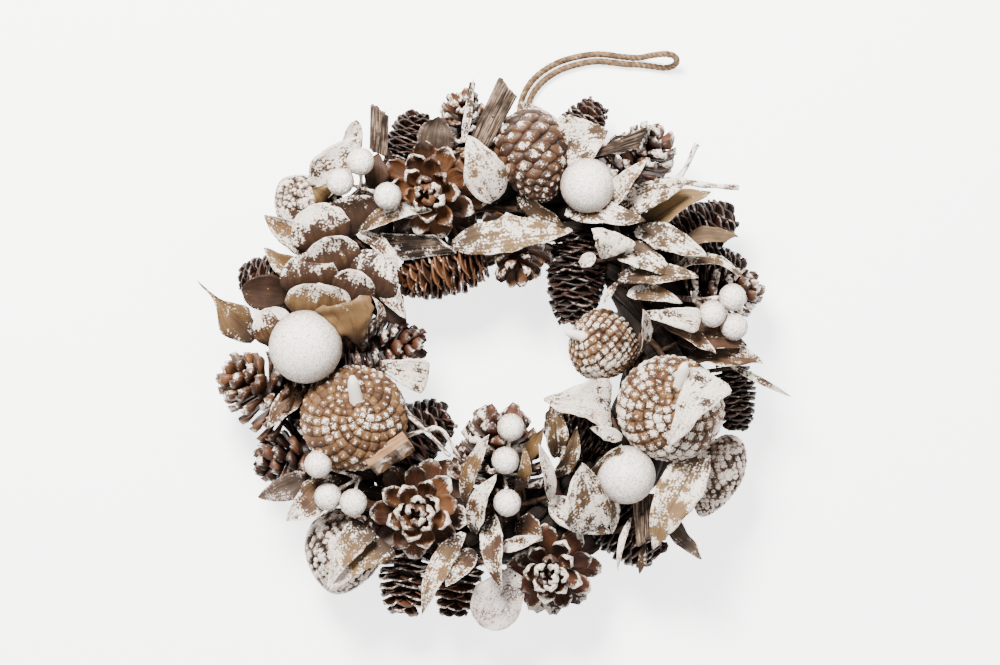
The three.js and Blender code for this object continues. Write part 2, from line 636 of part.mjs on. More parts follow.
// Closed cones, seen from the side or from their stalk
const CLOSED = {
  closed_cone_left: {
    finish: 'tanScale', foot: [-73, -27, 76], tip: [-75, -46, 28], radius: 28.5, around: 12, rows: 8,
    relief: 2, lean: 0.2, stalk: [[-74, -24, 66], [-73, -30, 82]],
  },
  closed_cone_right: {
    finish: 'tanScale', foot: [101, -22, 76], tip: [97, -40, 28], radius: 28.5, around: 12, rows: 8,
    relief: 2, lean: 0.2, stalk: [[103, -22, 66], [104, -16, 82]],
  },
  closed_cone_hole_right: {
    finish: 'tanScale', foot: [46, 9, 46], tip: [82, 0, 36], radius: 19, around: 12, rows: 8,
    relief: 1.2, lean: 0.2, stalk: [[52, 8, 45], [42, 12, 48]],
  },
  closed_cone_top: {
    finish: 'brownScale', foot: [18, 132, 40], tip: [31, 84, 56], radius: 19, around: 12, rows: 9,
    relief: 1.8, lean: 0.3,
  },
  frosted_cone_upper_left: {
    finish: 'paleScale', foot: [-90, 70, 34], tip: [-115, 96, 34], radius: 17, around: 12, rows: 8,
    relief: 1.8, lean: 0.2,
  },
  frosted_cone_lower_left: {
    finish: 'paleScale', foot: [-74, -86, 32], tip: [-95, -128, 26], radius: 18, around: 12, rows: 9,
    relief: 1.8, lean: 0.2,
  },
  frosted_cone_right: {
    finish: 'paleScale', foot: [136, -46, 30], tip: [117, -90, 30], radius: 12.5, around: 10, rows: 9,
    relief: 1.4, lean: 0.2, stalk: [seat(-27, 58, -3), [127, -66, 30]],
  },
};

// Open cones: four rosettes that face the viewer, and others on their sides
const OPEN = {
  rosette_cone_upper: { finish: 'brownScale', foot: [-31, 91, 32], tip: [-34, 87, 70], radius: 27, scales: 17 },
  rosette_cone_lower: { finish: 'brownScale', foot: [-39, -86, 32], tip: [-39, -87, 72], radius: 28, scales: 17, turn: 1 },
  rosette_cone_bottom: { finish: 'darkScale', foot: [36, -115, 24], tip: [33, -122, 58], radius: 27, scales: 17, turn: 2 },
  rosette_cone_hole_top: { finish: 'brownScale', foot: [19, 74, 26], tip: [17, 46, 50], radius: 16, scales: 14 },
  open_cone_hole_left: { finish: 'brownScale', foot: [-84, 6, 34], tip: [-40, 5, 42], radius: 18, scales: 15 },
  open_cone_left: { finish: 'brownScale', foot: [-106, -32, 28], tip: [-142, -14, 36], radius: 22, scales: 16 },
  open_cone_lower_left: { finish: 'brownScale', foot: [-92, -52, 28], tip: [-123, -60, 30], radius: 20, scales: 14 },
  open_cone_top: { finish: 'brownScale', foot: [-14, 112, 30], tip: [-19, 138, 42], radius: 16, scales: 14 },
  open_cone_upper_right: { finish: 'darkScale', foot: [70, 88, 32], tip: [90, 116, 44], radius: 21, scales: 14 },
  open_cone_right: { finish: 'brownScale', foot: [112, 24, 26], tip: [142, 36, 32], radius: 19, scales: 15 },
  open_cone_hole_bottom: { finish: 'darkScale', foot: [3, -74, 32], tip: [5, -40, 40], radius: 24, scales: 14 },
};

// Packed cones on their sides, dark between their many thin scales
const PACKED = {
  packed_cone_top_left: { foot: [-49, 100, 30], tip: [-42, 138, 34], radius: 13 },
  packed_cone_top_right: { foot: [36, 106, 26], tip: [62, 140, 26], radius: 13 },
  packed_cone_hole_top: {
    foot: [-2, 56, 34], tip: [-50, 42, 36], radius: 13, stalk: [seat(112, -52, -3), [-24, 50, 35]],
  },
  packed_cone_hole_right: { foot: [50, 68, 32], tip: [46, 14, 34], radius: 16 },
  packed_cone_right_upper: { foot: [98, 60, 32], tip: [136, 78, 30], radius: 15 },
  packed_cone_right: { foot: [104, 48, 26], tip: [142, 46, 24], radius: 14 },
  packed_cone_right_lower: {
    foot: [134, -4, 28], tip: [138, -44, 28], radius: 12, stalk: [seat(-10, 60, -3), [135, -22, 28]],
  },
  packed_cone_lower_right: { foot: [62, -82, 28], tip: [94, -114, 28], radius: 16 },
  packed_cone_bottom_left: { foot: [-44, -106, 26], tip: [-48, -145, 30], radius: 15 },
  packed_cone_bottom: { foot: [-16, -104, 26], tip: [-20, -147, 24], radius: 14 },
  packed_cone_hole_lower_left: { foot: [-60, -58, 30], tip: [-22, -35, 34], radius: 16 },
  packed_cone_left: { foot: [-106, 41, 26], tip: [-139, 42, 24], radius: 13 },
  packed_cone_hole_lower_right: { foot: [66, -50, 28], tip: [32, -36, 32], radius: 15 },
};
const PACKED_FORM = { around: 10, rows: 8, relief: 2.8, lean: 0.6, fullness: 0.45 };

// Every node is cut clear of the ones placed before it, by the guard shape that each leaves behind
const wreath = new THREE.Group();
const guards = [];

function boxesMeet(a, b) {
  const [p, q] = [a.boundingBox(), b.boundingBox()];
  return [0, 1, 2].every((k) => p.min[k] < q.max[k] && q.min[k] < p.max[k]);
}

function largestBody(solid) {
  const bodies = solid.decompose();
  return bodies.reduce((best, body) => (body.volume() > best.volume() ? body : best));
}

function place(name, finish, body, guard, group) {
  let kept = body;
  for (const earlier of guards) {
    if (boxesMeet(kept, earlier)) kept = kept.subtract(earlier);
  }
  kept = largestBody(kept);
  const cut = kept.getMesh();
  const geometry = new THREE.BufferGeometry();
  geometry.setAttribute('position', new THREE.Float32BufferAttribute(cut.vertProperties, 3));
  geometry.setIndex(Array.from(cut.triVerts));
  geometry.computeBoundingBox();
  const centre = geometry.boundingBox.getCenter(new THREE.Vector3()).round();
  geometry.translate(-centre.x, -centre.y, -centre.z);
  const material = new THREE.MeshStandardMaterial({ ...FINISHES[finish], metalness: 0 });
  const mesh = new THREE.Mesh(geometry, material);
  mesh.name = name;
  mesh.position.copy(centre);
  group.add(mesh);
  guards.push(guard);
}

function section() {
  const group = new THREE.Group();
  wreath.add(group);
  return group;
}

const base = section();
place('base_ring', 'vine', baseRing(), baseRing(GAP), base);
place('hanging_loop', 'jute', twine(), twine(GAP), base);

const glitter = section();
for (const [name, spec] of Object.entries(BAUBLES)) {
  place(name, 'glitter', bauble(spec), bauble(spec, GAP), glitter);
}
for (const [name, spec] of Object.entries(BERRIES)) {
  place(name, 'glitter', berrySpray(spec), berrySpray(spec, GAP), glitter);
}

const foliage = section();
for (const [name, spec] of Object.entries(LEAVES)) {
  place(name, spec.finish, leafSpray(spec), leafSpray(spec, GAP), foliage);
}

const wood = section();
for (const [name, spec] of Object.entries(SLABS)) {
  place(name, spec.finish, slab(spec), slab(spec, GAP), wood);
}
for (const [name, spec] of Object.entries(TWIGS)) {
  place(name, spec.finish, twigs(spec), twigs(spec, GAP), wood);
}

const cones = section();

function placeKnobbed(name, finish, spec) {
  const parts = [knobbedCone(spec)];
  const kept = [knobbedConeGuard(spec)];
  if (spec.stalk) {
    parts.push(stick(spec.stalk, STALK_RADIUS, 6));
    kept.push(stick(spec.stalk, STALK_RADIUS + GAP, 6));
  }
  place(name, finish, join(parts), join(kept), cones);
}

for (const [name, spec] of Object.entries(CLOSED)) placeKnobbed(name, spec.finish, spec);
for (const [name, spec] of Object.entries(OPEN)) {
  place(name, spec.finish, openCone(spec), openConeGuard(spec), cones);
}
for (const [name, spec] of Object.entries(PACKED)) placeKnobbed(name, 'darkScale', { ...PACKED_FORM, ...spec });

export default wreath;
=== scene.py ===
"""Looks of the snow-covered cone wreath: its camera, hanging loop, trimmings and finishes.

The tables hold millimetres in the part's own frame, with +Y at the top of the wreath and +Z towards the
viewer. Everything that is built is in metres.
"""

import logging
import math
import random
from collections.abc import Callable
from dataclasses import dataclass
from enum import Enum

import bmesh
import bpy
from mathutils import Matrix, Quaternion, Vector, noise


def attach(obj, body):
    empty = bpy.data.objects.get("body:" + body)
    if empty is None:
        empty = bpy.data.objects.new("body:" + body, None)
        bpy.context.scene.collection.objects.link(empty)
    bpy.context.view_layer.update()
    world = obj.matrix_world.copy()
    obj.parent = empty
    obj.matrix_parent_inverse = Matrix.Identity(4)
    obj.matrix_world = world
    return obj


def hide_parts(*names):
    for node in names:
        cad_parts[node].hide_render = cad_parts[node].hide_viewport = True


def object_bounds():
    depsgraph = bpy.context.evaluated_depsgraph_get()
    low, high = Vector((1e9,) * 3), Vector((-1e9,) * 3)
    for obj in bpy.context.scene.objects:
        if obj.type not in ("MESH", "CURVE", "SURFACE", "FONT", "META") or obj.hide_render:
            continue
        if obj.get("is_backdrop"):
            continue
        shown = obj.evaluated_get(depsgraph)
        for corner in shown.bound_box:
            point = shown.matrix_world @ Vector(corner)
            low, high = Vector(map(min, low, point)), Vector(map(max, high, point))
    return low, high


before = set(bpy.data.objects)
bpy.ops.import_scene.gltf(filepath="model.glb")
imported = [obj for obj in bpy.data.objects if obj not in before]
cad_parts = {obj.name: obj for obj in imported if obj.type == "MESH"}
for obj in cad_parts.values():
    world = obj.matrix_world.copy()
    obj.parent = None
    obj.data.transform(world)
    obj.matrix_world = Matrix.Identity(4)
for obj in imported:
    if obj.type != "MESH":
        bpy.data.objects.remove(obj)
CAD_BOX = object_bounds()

LOG = logging.getLogger("wreath")
Point = tuple[float, float, float]
Colour = tuple[float, float, float]
Verts = list[bmesh.types.BMVert]
Faces = list[bmesh.types.BMFace]
Bend = Callable[[float, float], Vector]
Share = Callable[[float, float], float]

# Units and sizes
MM = 0.001
GOLDEN = math.pi * (3 - math.sqrt(5))
UP = Vector((0, 0, 1))
LEAF_THICKNESS = 1.7 * MM
TOUCHING = 0.1 * MM
WELD = 0.001 * MM

# How finely things are divided: faces around a core, and across and along a leaf or a slab
CORE_SIDES = 14
LEAF_GRID = (10, 18)
SLAB_GRID = (12, 26)

# The numbers that each vertex carries for the finishes
MARKS = ("rim", "along", "across", "tint", "snow", "sky")

# Colours that several finishes share (the painted shade at the roots of scales and leaves and in the joints
# of closed cones, the painted glint on the whitest glitter flakes, and white), and the grain that leaves
# coordinates along a piece as they are
PAINTED_SHADE = (0.012, 0.006, 0.004)
PAINTED_GLINT = (1.0, 0.99, 0.97)
WHITE = (1.0, 1.0, 1.0)
UNSCALED_MM = 1000.0


class Slot(Enum):
    """The record's material slots."""

    VINE = "vine"
    BROWN_SCALE = "brown_scale"
    DARK_SCALE = "dark_scale"
    TAN_SCALE = "tan_scale"
    PALE_SCALE = "pale_scale"
    WASHED_LEAF = "washed_leaf"
    TAN_LEAF = "tan_leaf"
    GREY_LEAF = "grey_leaf"
    BARK = "bark"
    SPLIT_WOOD = "split_wood"
    TWIG = "twig"
    GLITTER = "glitter"
    JUTE = "jute"


def metres(place: Point) -> Vector:
    """Turns a place in millimetres into a vector in metres."""
    return Vector(place) * MM


def smooth(value: float, low: float, high: float) -> float:
    """Rises smoothly from 0 at low to 1 at high."""
    t = min(max((value - low) / (high - low), 0.0), 1.0)
    return t * t * (3 - 2 * t)


def rounded_path(points: list[Vector], steps: int) -> list[Vector]:
    """Samples a smooth route through points.

    Args:
        points: The places that the route goes through.
        steps: How many samples each span gets.

    Returns:
        The samples, with both ends.
    """
    if len(points) == 2:
        return [points[0].lerp(points[1], i / steps) for i in range(steps + 1)]
    ends = [points[0] * 2 - points[1], *points, points[-1] * 2 - points[-2]]
    path = []
    for k in range(len(points) - 1):
        a, b, c, d = ends[k:k + 4]
        for i in range(steps):
            t = i / steps
            path.append(0.5 * (2 * b + (c - a) * t + (2 * a - 5 * b + 4 * c - d) * t * t
                               + (3 * b - a - 3 * c + d) * t ** 3))
    return [*path, points[-1]]


def nearest_on(stems: list[list[Vector]], goal: Vector) -> Vector:
    """The place on a spray's stems that lies nearest to a leaf's base."""
    best = stems[0][0]
    for stem in stems:
        for start, end in zip(stem, stem[1:]):
            run = end - start
            share = min(max((goal - start).dot(run) / run.length_squared, 0.0), 1.0)
            place = start + run * share
            if (place - goal).length < (best - goal).length:
                best = place
    return best


class Value:
    """A shader socket that Python's operators work on."""

    def __init__(self, shader: "Shader", socket: bpy.types.NodeSocket) -> None:
        """Keeps the socket and the shader that it belongs to."""
        self.shader = shader
        self.socket = socket

    def __add__(self, other: "Value | float") -> "Value":
        """Adds."""
        return self.shader.maths("ADD", self, other)

    def __sub__(self, other: "Value | float") -> "Value":
        """Subtracts."""
        return self.shader.maths("SUBTRACT", self, other)

    def __rsub__(self, other: float) -> "Value":
        """Subtracts from a number."""
        return self.shader.maths("SUBTRACT", other, self)

    def __mul__(self, other: "Value | float") -> "Value":
        """Multiplies."""
        return self.shader.maths("MULTIPLY", self, other)

    def __abs__(self) -> "Value":
        """Drops the sign."""
        return self.shader.maths("ABSOLUTE", self, 0.0)


class Shader:
    """A material in the making, on Object coordinates and the marks of its mesh."""

    def __init__(self, name: str) -> None:
        """Starts an empty material with that name."""
        self.material = bpy.data.materials.new(name)
        self.material.use_nodes = True
        self.tree = self.material.node_tree
        self.tree.nodes.clear()

    def node(self, kind: str, settings: dict | None = None, inputs: dict | None = None,
             output: int | str = 0) -> Value:
        """Adds a node.

        Args:
            kind: The node's type.
            settings: Its settings, which are set first; "stops" are a ramp's places and colours.
            inputs: Values or links for its sockets, by name or number.
            output: The socket that is handed back.

        Returns:
            The chosen output.
        """
        made = self.tree.nodes.new(kind)
        for key, value in (settings or {}).items():
            if key == "stops":
                ramp = made.color_ramp
                while len(ramp.elements) < len(value):
                    ramp.elements.new(0.5)
                for element, (place, colour) in zip(ramp.elements, value):
                    element.position = place
                    element.color = (*colour, 1.0)
            else:
                setattr(made, key, value)
        for key, value in (inputs or {}).items():
            if isinstance(value, Value):
                self.tree.links.new(value.socket, made.inputs[key])
            elif isinstance(value, tuple) and made.inputs[key].type == "RGBA":
                made.inputs[key].default_value = (*value, 1.0)
            else:
                made.inputs[key].default_value = value
        return Value(self, made.outputs[output])

    def maths(self, operation: str, first: "Value | float", second: "Value | float") -> Value:
        """Adds a Math node."""
        return self.node("ShaderNodeMath", {"operation": operation}, {0: first, 1: second})

    def mark(self, name: str) -> Value:
        """Reads one of the mesh's marks."""
        return self.node("ShaderNodeAttribute", {"attribute_name": name}, output="Fac")

    def place(self) -> Value:
        """Reads the Object coordinates."""
        return self.node("ShaderNodeTexCoord", output="Object")

    def step(self, value: Value, low: float, high: float) -> Value:
        """Rises smoothly from 0 at low to 1 at high."""
        settings = {"interpolation_type": "SMOOTHSTEP", "clamp": True}
        return self.node("ShaderNodeMapRange", settings, {0: value, 1: low, 2: high, 3: 0.0, 4: 1.0})

    def mix(self, share: "Value | float", first: "Value | Colour", second: "Value | Colour") -> Value:
        """Mixes two colours by a share."""
        settings = {"data_type": "RGBA", "blend_type": "MIX", "clamp_factor": True}
        return self.node("ShaderNodeMix", settings, {0: share, 6: first, 7: second}, 2)

    def ramp(self, tone: Value, deep: Colour, middle: Colour, light: Colour) -> Value:
        """Turns a tone of 0 to 1 into a colour from deep over middle to light."""
        stops = [(0.0, deep), (0.5, middle), (1.0, light)]
        return self.node("ShaderNodeValToRGB", {"stops": stops}, {0: tone}, "Color")

    def noise(self, grain_mm: float, detail: float = 3.0, at: Value | None = None) -> Value:
        """Cloudy noise whose features are about that many millimetres across."""
        inputs = {"Vector": at or self.place(), "Scale": 1 / (grain_mm * MM), "Detail": detail}
        return self.node("ShaderNodeTexNoise", {}, inputs, "Fac")

    def along_piece(self, across: float, along: float) -> Value:
        """Coordinates that follow the piece: across it, along it, and apart for each tint."""
        return self.node("ShaderNodeCombineXYZ", {}, {
            0: self.mark("across") * across, 1: self.mark("along") * along, 2: self.mark("tint") * 40.0})

    def bump(self, height: Value, depth_mm: float) -> Value:
        """Turns a height of 0 to 1 into relief of that many millimetres."""
        inputs = {"Height": height, "Distance": depth_mm * MM, "Strength": 1.0}
        return self.node("ShaderNodeBump", {}, inputs, "Normal")

    def surface(self, inputs: dict) -> bpy.types.Material:
        """Closes the material with a Principled shader.

        Args:
            inputs: Its sockets by name.

        Returns:
            The finished material.
        """
        shader = self.node("ShaderNodeBsdfPrincipled", {}, inputs, "BSDF")
        output = self.tree.nodes.new("ShaderNodeOutputMaterial")
        self.tree.links.new(shader.socket, output.inputs["Surface"])
        return self.material


@dataclass(frozen=True)
class Washed:
    """Something dry and brown under a patchy coat of white paint, as on cones and leaves."""

    name: str
    deep: Colour
    middle: Colour
    light: Colour
    paint: Colour = (0.50, 0.445, 0.395)
    threshold: float = 0.95
    edge: float = 0.07
    rim: float = 0.6
    sky: float = 0.25
    patches: float = 0.9
    patch_mm: float = 7.0
    speckle: float = 0.6
    speckle_mm: float = 1.3
    grain_across: float = 7.0
    grain_along: float = 1.6
    grain: float = 0.5
    veins: float = 0.0
    # root_shade and root_until: painted shade, darker towards the root of each scale or leaf and in the
    # joints of closed cones, where neighbours shade it
    root_shade: float = 0.6
    root_until: float = 0.55
    tipward: float = 0.0
    relief_mm: float = 0.25
    roughness: float = 0.72
    specular: float = 0.3
    wear: Colour = (0.50, 0.44, 0.37)
    freshness: float = 1.3
    rib_half: float = 0.07
    veins_along: float = 60.0
    veins_lean: float = 22.0

    def veined(self, s: Shader, dry: Value, along: Value) -> Value:
        """Darkens the dry colour along the middle rib and the side veins of a leaf."""
        aside = abs(s.mark("across"))
        rib = 1.0 - s.step(aside, 0.0, self.rib_half)
        wave = s.maths("SINE", along * self.veins_along + aside * self.veins_lean, 0.0)
        return s.mix((rib + s.step(wave, 0.75, 1.0) * 0.35) * self.veins, dry, self.deep)

    def material(self) -> bpy.types.Material:
        """Builds the material: the dry colour, a thin veil of paint over it, and full paint in patches."""
        s = Shader(self.name)
        along = s.mark("along")
        cloud = s.noise(self.patch_mm)
        fine = s.noise(self.speckle_mm, 4.0)
        streak = s.noise(UNSCALED_MM, 4.0, s.along_piece(self.grain_across, self.grain_along))
        tone = s.step(cloud * 0.55 + streak * 0.6 + s.mark("tint") * 0.5, 0.35, 1.15)
        dry = s.ramp(tone, self.deep, self.middle, self.light)
        if self.veins:
            dry = self.veined(s, dry, along)
        # Painted shade: towards along 0, at the roots and in the joints, the dry colour is mixed towards near
        # black
        dry = s.mix((1.0 - s.step(along, 0.0, self.root_until)) * self.root_shade, dry, PAINTED_SHADE)
        amount = (s.mark("snow") + s.mark("rim") * self.rim + s.mark("sky") * self.sky
                  + s.step(along, 0.3, 0.85) * self.tipward + (streak - 0.5) * self.grain
                  + (cloud - 0.5) * (2 * self.patches) + (fine - 0.5) * (2 * self.speckle))
        coat = s.step(amount, self.threshold - self.edge, self.threshold + self.edge)
        veil = s.step(amount, self.threshold - 0.3, self.threshold + 0.15) * 0.3
        worn = tuple(part * kept for part, kept in zip(self.paint, self.wear))
        full = tuple(min(1.0, part * self.freshness) for part in self.paint)
        white = s.mix(s.step(fine * 0.45 + streak * 0.35 + cloud * 0.2, 0.38, 0.56), worn, full)
        colour = s.mix(coat, s.mix(veil, dry, self.paint), white)
        height = fine * 0.35 + streak * 0.35 + coat * 0.5
        return s.surface({"Base Color": colour, "Roughness": self.roughness,
                          "Specular IOR Level": self.specular, "Normal": s.bump(height, self.relief_mm)})


@dataclass(frozen=True)
class Glitter:
    """Fine off-white glitter: a rough crust of tiny flakes, some of which catch the light; painted shade
    where the surface turns away from up, and a painted glint on the whitest flakes.
    """

    name: str
    pale: Colour = (0.97, 0.915, 0.85)
    shade: Colour = (0.46, 0.365, 0.285)
    turned_down_shade: Colour = (0.18, 0.125, 0.09)
    flake_mm: float = 0.55
    clump_mm: float = 1.6
    relief_mm: float = 0.22
    specular: float = 0.6

    def material(self) -> bpy.types.Material:
        """Builds the material."""
        s = Shader(self.name)
        cells = {"Vector": s.place(), "Scale": 1 / (self.flake_mm * MM)}
        flake = s.node("ShaderNodeTexVoronoi", {}, cells, "Color")
        pick = s.node("ShaderNodeSeparateColor", {}, {0: flake}, 0)
        depth = s.node("ShaderNodeTexVoronoi", {}, cells, "Distance")
        cloud = s.noise(self.clump_mm, 4.0)
        # Painted shade: where the surface turns away from up, as towards a ball's rim, the colour darkens to
        # a deep brown
        turned_up = s.step(s.mark("sky"), 0.1, 1.1)
        colour = s.mix(s.step(pick * 0.5 + cloud * 0.5, 0.2, 0.55), self.shade, self.pale)
        colour = s.mix(turned_up, s.mix(0.88, colour, self.turned_down_shade), colour)
        # Painted glint: the flakes with the highest pick, which are also the glossiest, get a near-white
        # colour
        colour = s.mix(s.step(pick, 0.86, 0.95), colour, PAINTED_GLINT)
        shine = 0.75 - s.step(pick, 0.8, 0.9) * 0.55
        relief = s.bump((1.0 - depth) * 0.7 + pick * 0.5, self.relief_mm)
        return s.surface({"Base Color": colour, "Roughness": shine, "Normal": relief,
                          "Specular IOR Level": self.specular})


@dataclass(frozen=True)
class Fibre:
    """Hairy fibre that runs along its piece, as in jute, split wood and bark."""

    name: str
    deep: Colour
    middle: Colour
    light: Colour
    across: float = 9.0
    along: float = 3.0
    frost: float = 0.0
    groove_shadow: float = 0.0
    frost_colour: Colour = (0.72, 0.66, 0.60)
    contrast: float = 0.0
    relief_mm: float = 0.5
    roughness: float = 0.85
    specular: float = 0.2
    patch_mm: float = 6.0
    speckle_mm: float = 0.9

    def material(self) -> bpy.types.Material:
        """Builds the material."""
        s = Shader(self.name)
        streak = s.noise(UNSCALED_MM, 5.0, s.along_piece(self.across, self.along))
        cloud = s.noise(self.patch_mm)
        fine = s.noise(self.speckle_mm, 4.0)
        tone = s.step(streak * 0.8 + cloud * 0.3, 0.3 + self.contrast / 2, 0.85 - self.contrast / 2)
        colour = s.ramp(tone, self.deep, self.middle, self.light)
        amount = cloud + (fine - 0.5) * 0.8 + s.mark("rim") * 0.35 + s.mark("snow")
        # Painted shade in the grooves between a twine's strands, where the rim mark is low
        colour = s.mix((1.0 - s.mark("rim")) * self.groove_shadow, colour, self.deep)
        frost = s.step(amount, 1.05 - self.frost, 1.25 - self.frost)
        colour = s.mix(frost, colour, self.frost_colour)
        relief = s.bump(streak + fine * 0.3, self.relief_mm)
        return s.surface({"Base Color": colour, "Roughness": self.roughness,
                          "Specular IOR Level": self.specular, "Normal": relief})


# Finishes: deep, middle and light dry colours, the paint's colour where it has its own, and how it lies
FINISHES: dict[str, Washed | Glitter | Fibre] = {
    # The vine bundle is near black: its own dark bark, and painted shade for the deep gaps between the
    # trimmings
    "vine": Fibre("vine_bark_and_gap_shade", (0.002, 0.001, 0.001), (0.010, 0.006, 0.004), (0.030, 0.020, 0.013)),
    "brown_scale": Washed("brown_scales", (0.010, 0.003, 0.001), (0.044, 0.016, 0.006), (0.112, 0.047, 0.019),
                          rim=0.75, edge=0.10, roughness=0.5, sky=0.0),
    "umber_scale": Washed("umber_scales", (0.007, 0.002, 0.001), (0.027, 0.009, 0.005), (0.075, 0.028, 0.013),
                          rim=0.7, edge=0.10, roughness=0.5, root_shade=0.9, sky=0.0),
    "dark_scale": Washed("dark_scales", (0.003, 0.001, 0.001), (0.010, 0.004, 0.002), (0.030, 0.011, 0.007),
                         (0.18, 0.145, 0.13), rim=0.5, speckle_mm=2.0, speckle=0.9, roughness=0.5,
                         root_shade=0.95, sky=0.0),
    "tan_scale": Washed("tan_scales", (0.026, 0.009, 0.003), (0.070, 0.029, 0.009), (0.135, 0.066, 0.022),
                        speckle_mm=0.9, speckle=0.9, patch_mm=15.0, patches=1.0, rim=1.15, root_shade=0.97,
                        root_until=0.46, relief_mm=0.15, sky=0.05),
    "rust_scale": Washed("rust_scales", (0.014, 0.004, 0.001), (0.036, 0.014, 0.005), (0.074, 0.032, 0.013),
                         speckle_mm=1.0, speckle=1.0, rim=1.2, root_shade=0.97, root_until=0.44,
                         relief_mm=0.15, roughness=0.55, sky=0.05),
    "pale_scale": Washed("pale_scales", (0.012, 0.006, 0.004), (0.07, 0.038, 0.022), (0.20, 0.14, 0.10),
                         (0.50, 0.43, 0.385), speckle_mm=0.9, speckle=0.5, rim=0.9, root_shade=0.97,
                         root_until=0.4, sky=0.1),
    "washed_leaf": Washed("washed_leaves", (0.013, 0.007, 0.004), (0.05, 0.027, 0.011), (0.15, 0.09, 0.036),
                          threshold=0.86, edge=0.16, rim=0.3, veins=0.4, root_shade=0.8, patch_mm=8.0,
                          patches=1.7, speckle_mm=1.2, speckle=1.3, grain=1.6, sky=0.1),
    "tan_leaf": Washed("tan_leaves", (0.012, 0.004, 0.002), (0.045, 0.019, 0.007), (0.14, 0.078, 0.028),
                       threshold=0.92, edge=0.14, rim=0.45, veins=0.25, root_shade=0.9, patch_mm=8.0,
                       patches=1.5, speckle_mm=1.1, speckle=1.2, tipward=0.3, grain=1.3, sky=0.1),
    "grey_leaf": Washed("grey_leaves", (0.022, 0.014, 0.010), (0.075, 0.050, 0.036), (0.17, 0.13, 0.10),
                        (0.40, 0.35, 0.335), threshold=0.72, edge=0.3, rim=0.3, veins=0.3, root_shade=0.7,
                        patches=1.0, speckle_mm=0.9, speckle=1.0, grain=0.8, sky=0.1),
    "bark": Fibre("bark_grain", (0.012, 0.008, 0.006), (0.10, 0.066, 0.046), (0.27, 0.20, 0.15),
                  across=8.0, along=2.0, frost=0.1, contrast=0.28, relief_mm=1.4),
    "dark_bark": Fibre("dark_bark_grain", (0.006, 0.004, 0.003), (0.035, 0.021, 0.014), (0.12, 0.082, 0.06),
                       across=6.0, along=2.0, frost=0.3, contrast=0.28, relief_mm=1.2),
    "split_wood": Fibre("split_wood_grain", (0.08, 0.036, 0.013), (0.22, 0.12, 0.058), (0.36, 0.235, 0.145),
                        across=6.0, along=0.8, frost=0.05, relief_mm=0.4),
    "twig": Fibre("twig_bark", (0.04, 0.022, 0.013), (0.14, 0.09, 0.065), (0.34, 0.27, 0.22),
                  across=3.0, along=8.0, frost=0.22, relief_mm=0.3),
    "stem": Fibre("stem_bark", (0.008, 0.004, 0.002), (0.03, 0.015, 0.009), (0.09, 0.055, 0.035),
                  across=3.0, along=8.0, frost=0.05, relief_mm=0.3),
    "peg": Fibre("peg_wood", (0.30, 0.22, 0.15), (0.55, 0.48, 0.40), (0.74, 0.70, 0.64),
                 across=3.0, along=2.0, frost=0.5, relief_mm=0.3),
    "glitter": Glitter("glitter_crust"),
    "jute": Fibre("jute_fibre", (0.05, 0.028, 0.014), (0.16, 0.10, 0.056), (0.31, 0.215, 0.13),
                  across=2.0, along=90.0, groove_shadow=0.75, relief_mm=0.35),
}
DRESSED: dict[str, bpy.types.Material] = {}


def dressed(name: str) -> bpy.types.Material:
    """The material of a finish, built once."""
    if name not in DRESSED:
        DRESSED[name] = FINISHES[name].material()
    return DRESSED[name]


def add_object(name: str, data: bpy.types.ID) -> bpy.types.Object:
    """Puts an object that holds this data into the scene."""
    made = bpy.data.objects.new(name, data)
    bpy.context.scene.collection.objects.link(made)
    return made


